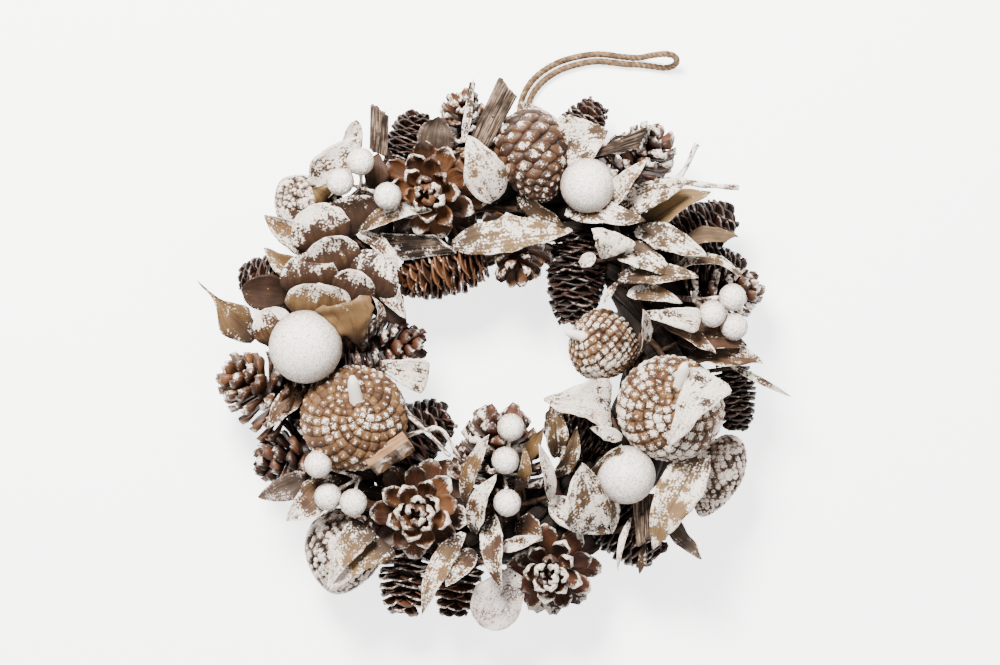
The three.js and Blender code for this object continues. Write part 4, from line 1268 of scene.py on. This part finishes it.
@dataclass(frozen=True)
class HangingLoop:
    """The doubled jute twine that the wreath hangs by, lying loose beside it."""

    diameter: float = 3.5
    length: float = 0.27
    strands: int = 3
    pitch: float = 9.0
    fibres: int = 240
    fibre_radius: float = 0.07
    clearance: float = 0.2
    route: tuple[Point, ...] = (
        (13, 108, 10), (16, 128, 4.2), (18.5, 143, 2), (24.5, 153.5, 2), (35, 161.5, 2), (47, 166, 2),
        (61, 168, 2), (76, 166.4, 2), (84, 165.9, 4), (91, 166.8, 9.5), (98, 167.3, 14), (103, 166.3, 12.3),
        (105, 163.8, 8.1), (103, 161.3, 3.8), (98, 160.3, 2), (91, 161.2, 2), (84, 162, 2), (76, 162.4, 2),
        (61, 163.9, 2), (48.5, 161.9, 2), (37.5, 157.8, 2), (28.3, 150.8, 2), (22.6, 141.5, 2),
        (20.2, 128, 4.2), (18, 108, 10))

    def lobed(self, angle: float, gone: float) -> float:
        """A factor on the radius that makes the strands wind round each other."""
        wind = self.strands * (angle - math.tau * gone / (self.pitch * MM))
        return 0.86 + 0.18 * abs(math.cos(wind / 2)) + 0.02 * math.sin(9 * angle + 4000 * gone)

    def loose_fibres(self, path: list[Vector]) -> bpy.types.Object:
        """Builds the short fibres that stand out from the twine.

        Args:
            path: The twine's middle line.

        Returns:
            The piece that holds them all.
        """
        form = Form("hanging_loop_fibres", "jute")
        rng = random.Random(7)
        for _ in range(self.fibres):
            k = rng.randrange(2, len(path) - 3)
            along = (path[k + 1] - path[k]).normalized()
            angle = rng.uniform(0, math.tau)
            out = Vector((-along.y, along.x, 0)) * math.cos(angle) + UP * math.sin(angle)
            start = path[k] + out * self.diameter * 0.46 * MM
            reach = along * rng.choice((-1, 1)) * rng.uniform(1.5, 3.5)
            end = start + (reach + out * rng.uniform(0.2, 1.1)) * MM
            lowest = self.clearance * MM
            end.z = max(end.z, lowest)
            bend = start.lerp(end, 0.5) + out * 0.25 * MM
            bend.z = max(bend.z, lowest)
            form.tube(rounded_path([start, bend, end], 2), lambda t: self.fibre_radius * MM * (1 - 0.6 * t),
                      4, tint=rng.random())
        return form.finish(Slot.JUTE)

    def build(self) -> None:
        path = rounded_path([metres(p) for p in self.route], 9)
        form = Form("hanging_loop_twine", "jute")
        form.tube(path, lambda t: self.diameter / 2 * MM, 24, self.lobed)
        twine = form.finish(Slot.JUTE, "hanging_loop")
        fibres = self.loose_fibres(path)
        run = sum((b - a).length for a, b in zip(path, path[1:]))
        LOG.info("the twine's route is %.4f m long", run)
        metres(self.route[0])


@dataclass(frozen=True)
class Studio:
    """The camera straight above the wreath, a pale floor and soft light."""

    eye: Point = (6.05, 11.8, 2200.0)
    lens: float = 141.0
    sensor_width: float = 36.0
    nearest: float = 0.05
    farthest: float = 50.0
    floor_size: float = 6.0
    floor_drop: float = 0.4
    floor_colour: Colour = (0.93, 0.93, 0.92)
    sky_strength: float = 0.52
    floor_glow: float = 2.7

    def camera(self) -> None:
        """Makes the camera at the photograph's viewing angle."""
        data = bpy.data.cameras.new("camera")
        data.lens = self.lens
        data.sensor_width = self.sensor_width
        data.clip_start = self.nearest
        data.clip_end = self.farthest
        camera = add_object("camera", data)
        camera.location = metres(self.eye)
        bpy.context.scene.camera = camera

    def floor(self) -> None:
        """Makes the pale floor."""
        bm = bmesh.new()
        bmesh.ops.create_grid(bm, x_segments=1, y_segments=1, size=self.floor_size / 2)
        bmesh.ops.translate(bm, vec=UP * -self.floor_drop * MM, verts=bm.verts[:])
        mesh = bpy.data.meshes.new("floor")
        bm.to_mesh(mesh)
        bm.free()
        shader = Shader("floor_paper")
        mesh.materials.append(shader.surface({"Base Color": self.floor_colour, "Roughness": 0.95,
                                              "Specular IOR Level": 0.0,
                                              "Emission Color": WHITE,
                                              "Emission Strength": self.floor_glow}))
        add_object("floor", mesh)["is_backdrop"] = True

    def lamp(self, name: str, place: Point, size: float, power: float, colour: Colour) -> None:
        """Adds a soft square lamp that points at the wreath.

        Args:
            name: Its name.
            place: Where it stands, in millimetres.
            size: Its side, in metres.
            power: Its power in watts.
            colour: The colour of its light.
        """
        data = bpy.data.lights.new(name, "AREA")
        data.energy = power
        data.size = size
        data.color = colour
        lamp = add_object(name, data)
        lamp.location = metres(place)
        lamp.rotation_euler = (-metres(place)).to_track_quat("-Z", "Y").to_euler()

    def light(self) -> None:
        """Makes the soft studio light."""
        world = bpy.data.worlds.new("studio")
        world.use_nodes = True
        background = world.node_tree.nodes["Background"]
        background.inputs["Color"].default_value = (*WHITE, 1.0)
        background.inputs["Strength"].default_value = self.sky_strength
        bpy.context.scene.world = world
        self.lamp("key_light", (-350, 900, 1250), 0.5, 121.0, (1.0, 0.955, 0.905))
        self.lamp("fill_light", (900, -500, 1100), 1.2, 14.0, (1.0, 0.99, 0.98))


BROWN, DARK, TAN, PALE = Slot.BROWN_SCALE, Slot.DARK_SCALE, Slot.TAN_SCALE, Slot.PALE_SCALE

# Cones: name, foot, tip, radius, finish, slot, paint and seed, then what is special about each
OPEN_CONES = (
    OpenCone("rosette_cone_upper", (-31, 91, 32), (-34, 87, 70), 30, "brown_scale", BROWN, 0.22, 3,
             scales=38, turn=0.4, width=(0.54, 0.27)),
    OpenCone("rosette_cone_lower", (-39, -86, 32), (-39, -87, 72), 29, "brown_scale", BROWN, 0.25, 4,
             scales=35, turn=1.0, width=(0.58, 0.30)),
    OpenCone("rosette_cone_bottom", (36, -115, 24), (33, -122, 58), 27, "umber_scale", DARK, 0.34, 5,
             scales=34, turn=2.0, width=(0.54, 0.27), heart=0.3),
    OpenCone("rosette_cone_hole_top", (16, 69, 27), (15, 43, 50), 22, "brown_scale", BROWN, 0.25, 6,
             scales=32, rise=(0.0, 62.0), taper=0.35),
    SideCone("open_cone_hole_left", (-84, 6, 34), (-40, 5, 42), 20, "umber_scale", BROWN, 0.12, 7, scales=54),
    SideCone("open_cone_left", (-106, -31, 28), (-141, -11, 36), 24, "brown_scale", BROWN, 0.06, 8),
    SideCone("open_cone_lower_left", (-92, -52, 28), (-123, -60, 30), 21, "umber_scale", BROWN, 0.12, 9),
    SideCone("open_cone_top", (-12, 112, 30), (-15, 139, 42), 18, "brown_scale", BROWN, 0.3, 10),
    SideCone("open_cone_upper_right", (70, 88, 32), (90, 116, 44), 23, "umber_scale", DARK, 0.32, 11,
             reach=0.92),
    SideCone("open_cone_right", (112, 24, 26), (142, 36, 32), 20, "umber_scale", BROWN, 0.4, 12, reach=0.92),
    SideCone("open_cone_hole_bottom", (3, -74, 32), (6, -40, 40), 26, "umber_scale", DARK, 0.28, 13,
             taper=0.2, scales=52),
)

CLOSED_CONES = (
    ClosedCone("closed_cone_left", (-73, -27, 76), (-75, -46, 28), 28.5, "tan_scale", TAN, -0.07, 21,
               ((-71, -31, 70), (-74, -12, 83)), 3.9, scales=460),
    ClosedCone("closed_cone_right", (101, -22, 76), (97, -40, 28), 28.5, "tan_scale", TAN, 0.16, 22,
               ((103, -20, 70), (106, -5, 82)), 3.9, scales=400),
    ClosedCone("closed_cone_hole_right", (46, 9, 46), (82, 0, 36), 19, "tan_scale", TAN, 0.12, 23,
               ((54, 9, 54), (42, 12, 56)), scales=340, jitter=0.4),
    ClosedCone("closed_cone_top", (18, 132, 40), (31, 84, 56), 19, "rust_scale", BROWN, -0.12, 24,
               scales=128, flatness=1.2, jitter=0.35),
    ClosedCone("frosted_cone_upper_left", (-90, 70, 34), (-115, 96, 34), 17, "pale_scale", PALE, 0.42, 25,
               scales=460, jitter=1.0),
    ClosedCone("frosted_cone_lower_left", (-76, -87, 32), (-86, -133, 26), 21, "pale_scale", PALE, 0.45, 26,
               scales=400, flatness=1.0, jitter=1.0),
    ClosedCone("frosted_cone_right", (136, -46, 30), (117, -90, 30), 12.5, "pale_scale", PALE, 0.42, 27,
               (ring_seat(-27, 58, -3), (127, -66, 30)), scales=300, jitter=1.0),
)

PACKED_CONES = (
    PackedCone("packed_cone_top_left", (-49, 100, 30), (-39, 134, 34), 13, "dark_scale", DARK, 0.15, 31),
    PackedCone("packed_cone_top_right", (36, 106, 26), (62, 140, 26), 13, "dark_scale", DARK, 0.15, 32),
    PackedCone("packed_cone_hole_top", (-2, 54, 34), (-51, 39, 36), 15.5, "brown_scale", DARK, -0.1, 33,
               (ring_seat(112, -52, -3), (-24, 50, 35)), rows=14, around=7),
    PackedCone("packed_cone_hole_right", (50, 68, 32), (46, 14, 34), 16, "dark_scale", DARK, 0.22, 34,
               rows=15),
    PackedCone("packed_cone_right_upper", (98, 60, 32), (136, 78, 30), 15, "dark_scale", DARK, 0.1, 35),
    PackedCone("packed_cone_right", (104, 48, 26), (142, 46, 24), 14, "dark_scale", DARK, 0.3, 36),
    PackedCone("packed_cone_right_lower", (134, -4, 28), (138, -44, 28), 12, "dark_scale", DARK, 0.1, 37,
               (ring_seat(-10, 60, -3), (135, -22, 28))),
    PackedCone("packed_cone_lower_right", (62, -84, 28), (93, -112, 28), 17.5, "dark_scale", DARK, 0.2, 38),
    PackedCone("packed_cone_bottom_left", (-44, -106, 26), (-48, -145, 30), 15, "umber_scale", DARK, 0.2, 39,
               rows=9, around=7),
    PackedCone("packed_cone_bottom", (-16, -104, 26), (-20, -147, 24), 14, "umber_scale", DARK, 0.25, 40,
               rows=9, around=7),
    PackedCone("packed_cone_hole_lower_left", (-60, -55, 30), (-22, -33, 34), 17, "dark_scale", DARK, 0.15,
               41, rows=12),
    PackedCone("packed_cone_left", (-106, 41, 26), (-139, 42, 24), 13, "dark_scale", DARK, 0.2, 42),
    PackedCone("packed_cone_hole_lower_right", (66, -50, 28), (32, -36, 32), 15, "dark_scale", DARK, 0.2, 43),
)

# Sprays: name, finish, slot, the stems, and the leaves from base to tip with their widths
SPRAYS = (
    Spray("leaves_left", "tan_leaf", Slot.TAN_LEAF, (
        ((-68, 76, 42), (-76, 66, 48), (-86, 55, 50), (-91, 34, 51), (-88, 20, 54), (-80, 8, 56)),
        ((-88, 46, 50), (-72, 32, 50), (-61, 22, 48)),
        ((-90, 38, 50), (-90, 36, 38))), (
        Petal((-71, 61, 46), (-76, 88, 64), 35, snow=-0.7, dip=0.8, tint=0.0),
        Petal((-86, 53, 50), (-97, 80, 66), 34, snow=-0.15, dip=0.9, tint=0.2),
        Petal((-81, 38, 50), (-89, 65, 67), 32, snow=-0.5, dip=1.1, tint=0.2),
        Petal((-96, 28, 48), (-100, 54, 65), 33, snow=-0.45, dip=0.9, tint=0.2),
        Petal((-94, 16, 54), (-92, 40, 71), 37, snow=-0.4, dip=1.0, tint=0.7),
        Petal((-70, 28, 46), (-60, 54, 65), 34, roll=-10, snow=-0.65, dip=1.2, tint=0.1),
        Leaf((-71, 6, 60), (-79, 29, 76), 34, roll=-10, cup=-0.1, wedge=1, snow=-0.8, dip=0.3, tint=0.85),
        Leaf((-62, 12, 50), (-62, 31, 62), 9, roll=60, snow=0.7),
        Leaf((-90, 56, 46), (-123, 77, 52), 18, roll=-15, cup=0.2, snow=0.5, tint=0.9),
        Leaf((-71, 68, 56), (-32, 80, 64), 13, roll=-35, cup=0.3, snow=0.55, tint=0.9),
        Leaf((-60, 52, 50), (-44, 20, 56), 15, roll=30, cup=0.3, snow=0.7),
        Leaf((-62, 40, 42), (-46, 14, 44), 16, cup=0.2, snow=-0.6, tint=0.0),
        Petal((-79, 25, 52), (-69, 46, 66), 25, snow=-0.5, dip=1.1, tint=0.1),
        Leaf((-94, 40, 46), (-124, 58, 48), 15, roll=-20, cup=0.2, snow=0.0, tint=0.8),
        Leaf((-100, 66, 48), (-111, 80, 54), 9, roll=30, cup=0.3, snow=0.0, tint=0.1),
        Leaf((-62, 91, 50), (-61, 110, 52), 14, roll=-10, cup=0.2, snow=-0.5, tint=0.2),
        Petal((-79, 60, 46), (-83, 80, 58), 24, snow=-0.7, dip=0.9, tint=0.0),
        Leaf((-72, 66, 54), (-48, 47, 58), 10, roll=-35, cup=0.3, snow=0.9))),
    Spray("leaves_upper_left", "washed_leaf", Slot.WASHED_LEAF, (
        (ring_seat(132, 36, 1), ring_seat(134, 60, 2), (-88, 98, 40)),), (
        Leaf((-96, 88, 42), (-69, 119, 54), 24, roll=-10, snow=1.0),
        Leaf((-88, 84, 46), (-96, 90, 58), 16, cup=0.2, snow=0.1, tint=0.9),
        Leaf((-77, 106, 44), (-72, 129, 58), 11, blunt=True, snow=0.8))),
    Spray("leaves_top", "washed_leaf", Slot.WASHED_LEAF, (
        (ring_seat(108, -42, 1), ring_seat(90, -42, 1), ring_seat(74, -36, 1)),
        (ring_seat(92, -42, 1), ring_seat(94, 0, 1.5), ring_seat(97, 42, 1.5), (-12, 128, 46),
         (-9, 149, 50))), (
        Leaf((3, 84, 52), (-11, 118, 68), 24, roll=12, cup=0.1, snow=0.95, tint=0.9),
        Leaf((16, 88, 46), (43, 72, 54), 12, roll=40, snow=0.1, tint=0.2),
        Leaf((-20, 60, 48), (45, 69, 58), 20, roll=-14, cup=0.12, bow=0.05, snow=0.62, tint=0.9),
        Leaf((-31, 110, 46), (-27, 131, 60), 21, cup=0.05, bow=0.04, snow=0.0, tint=0.3, grey=True),
        Leaf((-14, 116, 52), (-8.5, 151, 54), 4.5, cup=0, bow=0.02, snow=0.8, tint=0.3))),
    Spray("leaves_top_right", "washed_leaf", Slot.WASHED_LEAF, (
        (ring_seat(68, 38, 1), ring_seat(66, 60, 3), (42, 118, 40)),), (
        Leaf((36, 112, 48), (64, 122, 60), 31, roll=-10, cup=0.1, snow=0.7),
        Leaf((42, 119, 42), (17, 139, 46), 10, cup=0.2, snow=1.0))),
    Spray("leaves_right", "washed_leaf", Slot.WASHED_LEAF, (
        (ring_seat(56, -12, 1), (66, 76, 50), (72, 60, 51), (76, 40, 50), ring_seat(14, -18, 1)),
        ((72, 60, 51), (100, 58, 44), (100, 40, 44))), (
        Leaf((65, 79, 58), (85, 106, 74), 11, roll=-20, cup=0.2, snow=0.75, tint=1.0),
        Leaf((71, 78, 52), (109, 92, 68), 17, roll=-25, cup=0.2, snow=0.75),
        Leaf((86, 69, 48), (120, 90, 60), 16, roll=-30, cup=0.3, snow=0.0, tint=1.0),
        Leaf((42, 78, 54), (86, 71, 66), 15, roll=-20, snow=0.65),
        Leaf((64, 52, 58), (68, 66, 68), 27, cup=0.15, wedge=1, snow=1.0),
        Leaf((80, 68, 54), (119, 52, 66), 16, roll=-20, snow=0.65),
        Leaf((68, 58, 52), (101, 44, 64), 15, roll=-20, snow=0.62),
        Leaf((71, 42, 52), (115, 40, 64), 15, roll=-30, snow=0.5),
        Leaf((76, 33, 52), (105, 29, 62), 11, roll=-30, snow=0.7, tint=0.7),
        Leaf((105, 60, 46), (137, 62, 58), 15, roll=-48, cup=0.3, snow=-0.2, tint=0.5),
        Leaf((98, 42, 46), (140, 44, 58), 14, roll=-60, cup=0.4, bow=0.2, snow=0.6),
        Leaf((70, 39, 56), (63, 27, 58), 4, roll=20, snow=0.9),
        Leaf((50, 49, 54), (58, 54, 57), 8, blunt=True, snow=0.95))),
    Spray("leaves_right_middle", "tan_leaf", Slot.TAN_LEAF, (
        (ring_seat(8, -28, 1), ring_seat(2, -8, 1), ring_seat(-4, 10, 1), ring_seat(-6, 40, 1)),
        (ring_seat(8, -28, 1), ring_seat(-8, -40, 1), ring_seat(-24, -42, 1), (66, -32, 44))), (
        Leaf((82, -1, 50), (82, 25, 64), 13, roll=62, snow=0.9),
        Leaf((84, 22, 56), (114, 18, 70), 15, roll=-10, cup=0.1, wedge=1, snow=0.95),
        Leaf((92, 18, 50), (123, -2, 62), 14, roll=-45, snow=0.0, dip=0.5, tint=0.5),
        Leaf((104, 8, 46), (141, 6, 56), 20, roll=-30, snow=-0.2, tint=0.3),
        Leaf((108, -4, 46), (150, -8, 56), 22, roll=-50, cup=0.3, snow=0.2, tint=0.4),
        Leaf((132, -6, 50), (167, -24, 44), 4, cup=0, bow=0.15, snow=0.7),
        Leaf((123, -12, 73), (98, -50, 80), 27, roll=14, cup=0.1, bow=0.16, wedge=-1, snow=1.1),
        Leaf((67, -28, 50), (31, -25, 62), 33, roll=10, cup=0.15, wedge=-1, snow=1.1),
        Leaf((73, -46, 58), (55, -40, 62), 8, cup=0.2, snow=0.95))),
    Spray("leaves_lower_right", "washed_leaf", Slot.WASHED_LEAF, (
        ((46, -52, 44), (38, -66, 38), (40, -80, 39), (54, -92, 43), (70, -97, 45), (96, -85, 44),
         (106, -64, 46)),
        (ring_seat(-60, 10, -3), (54, -92, 43))), (
        Leaf((118, -52, 56), (89, -106, 62), 24, roll=12, cup=0.15, snow=0.6, tint=1.0),
        Leaf((51, -70, 54), (72, -47, 72), 11, roll=30, snow=0.45),
        Leaf((37, -68, 46), (49, -41, 58), 11, roll=25, snow=0.45),
        Leaf((62, -97, 50), (50, -58, 66), 27, roll=10, cup=0.2, snow=0.75, lopsided=0.45),
        Leaf((68, -98, 50), (57, -64, 66), 12, roll=50, cup=0.2, snow=0.6),
        Leaf((37, -57, 46), (33, -24, 58), 14, roll=20, cup=0.3, snow=0.45, tint=0.6),
        Leaf((34, -80, 42), (66, -99, 52), 17, roll=15, cup=0.3, snow=0.95),
        Leaf((98, -86, 44), (118, -112, 52), 11, roll=30, snow=0.1, tint=0.2, grey=True),
        Leaf((78, -90, 48), (70, -119, 50), 4, roll=20, snow=0.95),
        Leaf((86, -105, 44), (83, -121, 40), 5, snow=0.1, tint=0.2))),
    Spray("leaves_bottom", "tan_leaf", Slot.TAN_LEAF, (
        (ring_seat(-72, -28, 1), ring_seat(-84, -30, 1), ring_seat(-94, -30, 1), ring_seat(-102, -26, 1)),), (
        Leaf((-13, -83, 50), (3, -44, 66), 13, roll=-45, cup=0.3, snow=0.45, tint=0.8),
        Leaf((-8, -98, 52), (2, -66, 66), 14, roll=-35, cup=0.2, snow=0.6),
        Leaf((16, -62, 46), (29, -40, 52), 10, roll=20, cup=0.2, snow=-0.2, tint=0.9),
        Leaf((16, -76, 48), (20, -52, 60), 9, roll=20, cup=0.2, snow=0.1, tint=0.9),
        Leaf((34, -80, 52), (26, -48, 66), 8, roll=25, cup=0.2, snow=1.0),
        Leaf((2, -88, 50), (6, -128, 64), 13, roll=20, cup=0.2, snow=0.65),
        Leaf((16, -92, 46), (30, -102, 54), 18, roll=10, cup=0.2, snow=0.45),
        Leaf((6, -107, 50), (29, -100, 58), 8, roll=-10, cup=0.3, snow=0.75))),
    Spray("leaves_bottom_outer", "tan_leaf", Slot.GREY_LEAF, (
        (ring_seat(-98, 10, 1), ring_seat(-96, 45, 1)), (ring_seat(-97, 28, 1), ring_seat(-106, 30, 1))), (
        Leaf((16, -121, 42), (-4, -150, 40), 29, roll=6, cup=0.12, blunt=True, snow=0.8, grey=True),
        Leaf((-14, -98, 50), (-38, -142, 54), 13, roll=20, cup=0.3, snow=0.6, tint=0.9),
        Leaf((-8, -108, 48), (-24, -128, 60), 12, roll=10, cup=0.3, snow=0.6))),
    Spray("leaves_lower_left", "tan_leaf", Slot.TAN_LEAF, (
        (ring_seat(-120, 4, 2.2), ring_seat(-126, 24, 3), ring_seat(-138, 40, 3),
         ring_seat(-150, 42, 2.2)),), (
        Leaf((-62, -99, 50), (-88, -129, 56), 36, roll=8, cup=0.18, wedge=-1, snow=0.2, dip=0.9, tint=0.9),
        Leaf((-68, -94, 56), (-87, -126, 61), 19, roll=10, cup=0.12, wedge=-1, snow=0.45, dip=0.3, tint=0.9),
        Leaf((-80, -69, 46), (-111, -92, 54), 20, roll=10, cup=0.2, snow=0.2, dip=0.4),
        Leaf((-98, -68, 40), (-127, -79, 44), 15, roll=-10, cup=0.2, snow=0.1, tint=0.2, grey=True))),
    Spray("leaves_left_outer", "tan_leaf", Slot.GREY_LEAF, (
        (ring_seat(172, 30, 1), ring_seat(168, 62, 2), (-124, 30, 34)),
        (ring_seat(168, 62, 2), ring_seat(178, 62, 2))), (
        Leaf((-129, 8, 40), (-160, 41, 44), 21, roll=-10, cup=0.2, bow=0.1, snow=0.35, tint=0.8, tail=0.85),
        Petal((-113, 4, 46), (-123, 24, 56), 24, snow=0.1, dip=0.8),
        Leaf((-107, 35, 44), (-136, 36, 52), 22, roll=-20, cup=0.2, blunt=True, snow=-0.5, tint=0.0),
        Leaf((-99, -18, 44), (-122, -40, 54), 14, roll=20, cup=0.3, snow=0.35))),
    Spray("leaf_hole_left", "washed_leaf", Slot.WASHED_LEAF, (
        (ring_seat(-172, -62, 1), ring_seat(-166, -78, 3)),), (
        Leaf((-61, -5, 46), (-34, -12, 57), 21, roll=10, cup=0.15, wedge=1, snow=0.9),)),
)

# Baubles and berries: their middles, and where they are seated on the ring
BAUBLES = (
    Bauble("bauble_large", (-100, 4, 64), 20, ring_seat(177, 8, -4)),
    Bauble("bauble_upper", (54, 92, 62), 15, ring_seat(58, 12, -4)),
    Bauble("bauble_lower", (75, -66, 60), 16, ring_seat(-42, 8, -4)),
)

BERRIES = (
    BerrySpray("berries_upper_left", ring_seat(128, 10, -3), (-70, 91, 54),
               ((-70, 105, 66), (-81, 94, 65), (-55, 86, 72))),
    BerrySpray("berries_right", ring_seat(18, 18, -3), (112, 30, 48),
               ((133, 31, 61), (122, 22, 63), (134, 15, 59))),
    BerrySpray("berries_lower_left", ring_seat(-136, 10, -3), (-72, -68, 48),
               ((-93, -60, 67), (-88, -78, 60), (-74, -81, 63))),
    BerrySpray("berries_bottom", ring_seat(-84, -25, -3), (9, -66, 50),
               ((12, -40, 62), (9, -58, 65), (10, -81, 66))),
)

# Bark and wood: finish, slot, four corners, thickness and seat
SLABS = (
    Slab("bark_strip_left", "bark", Slot.BARK,
         ((-65, 136, 58), (-55, 130, 58), (-56, 108, 50), (-66, 112, 50)), 3.4, ring_seat(118, 30, -2),
         curve=1.2),
    Slab("bark_strip_top", "bark", Slot.BARK,
         ((5, 151, 60), (15, 140, 60), (0, 113, 52), (-10, 119, 52)), 4.0, ring_seat(93, 30, -2), curve=1.0),
    Slab("bark_slab_hole", "dark_bark", Slot.BARK,
         ((-60, 66, 52), (-48, 51, 48), (-18, 55, 52), (-30, 65, 54)), 3.0, ring_seat(122, -40, -2),
         curve=0.8, snow=0.15),
    Slab("split_wood", "split_wood", Slot.SPLIT_WOOD,
         ((-68, -56, 71), (-65, -61, 75), (-44, -47, 76), (-47, -42, 72)), 12.0, ring_seat(-140, -35, -2),
         furrow=0.3, rind="bark"),
    Slab("bark_wedge", "dark_bark", Slot.BARK,
         ((52, 109, 56), (53, 107, 56), (82, 112, 64), (87, 125, 64)), 9.0, ring_seat(56, 45, -2)),
    Slab("bark_lower_right", "bark", Slot.BARK,
         ((78, -74, 54), (92, -77, 54), (91, -98, 57), (81, -106, 51)), 2.6, ring_seat(-46, 20, -2),
         curve=0.6),
)

# Twigs: the route of each stick with its radius
TWIG_SETS = (
    Twigs("twig_fork_right", (
        ((ring_seat(44, 40, -2), (96, 94, 48), (104, 97, 52), (114, 115, 56)), 1.9),
        (((104, 97, 52), (110, 94, 54), (137, 91, 54)), 1.9))),
    Twigs("twigs_hole_left", (
        ((ring_seat(-142, -45, -2), (-42, -44, 50), (-35, -42, 53)), 1.4),
        (((-49, -28, 56), (-35, -42, 53), (-21, -56, 50)), 1.4),
        (((-35, -42, 53), (-26, -42, 52), (-15, -59, 46)), 1.2))),
)


def write_sizes() -> None:
    boxes = {"cad": CAD_BOX, "visual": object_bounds()}
    plain = {name: [list(low), list(high)] for name, (low, high) in boxes.items()}


def main() -> None:
    """Builds the wreath's pieces in order."""
    logging.basicConfig(level=logging.INFO, format="%(name)s: %(message)s")
    studio = Studio()
    studio.camera()
    HangingLoop().build()
    BaseRing().build()
    for group in (BAUBLES, BERRIES, SPRAYS, SLABS, TWIG_SETS, CLOSED_CONES, OPEN_CONES, PACKED_CONES):
        for piece in group:
            piece.build()
    studio.floor()
    studio.light()
    write_sizes()


if __name__ == "__main__":
    main()
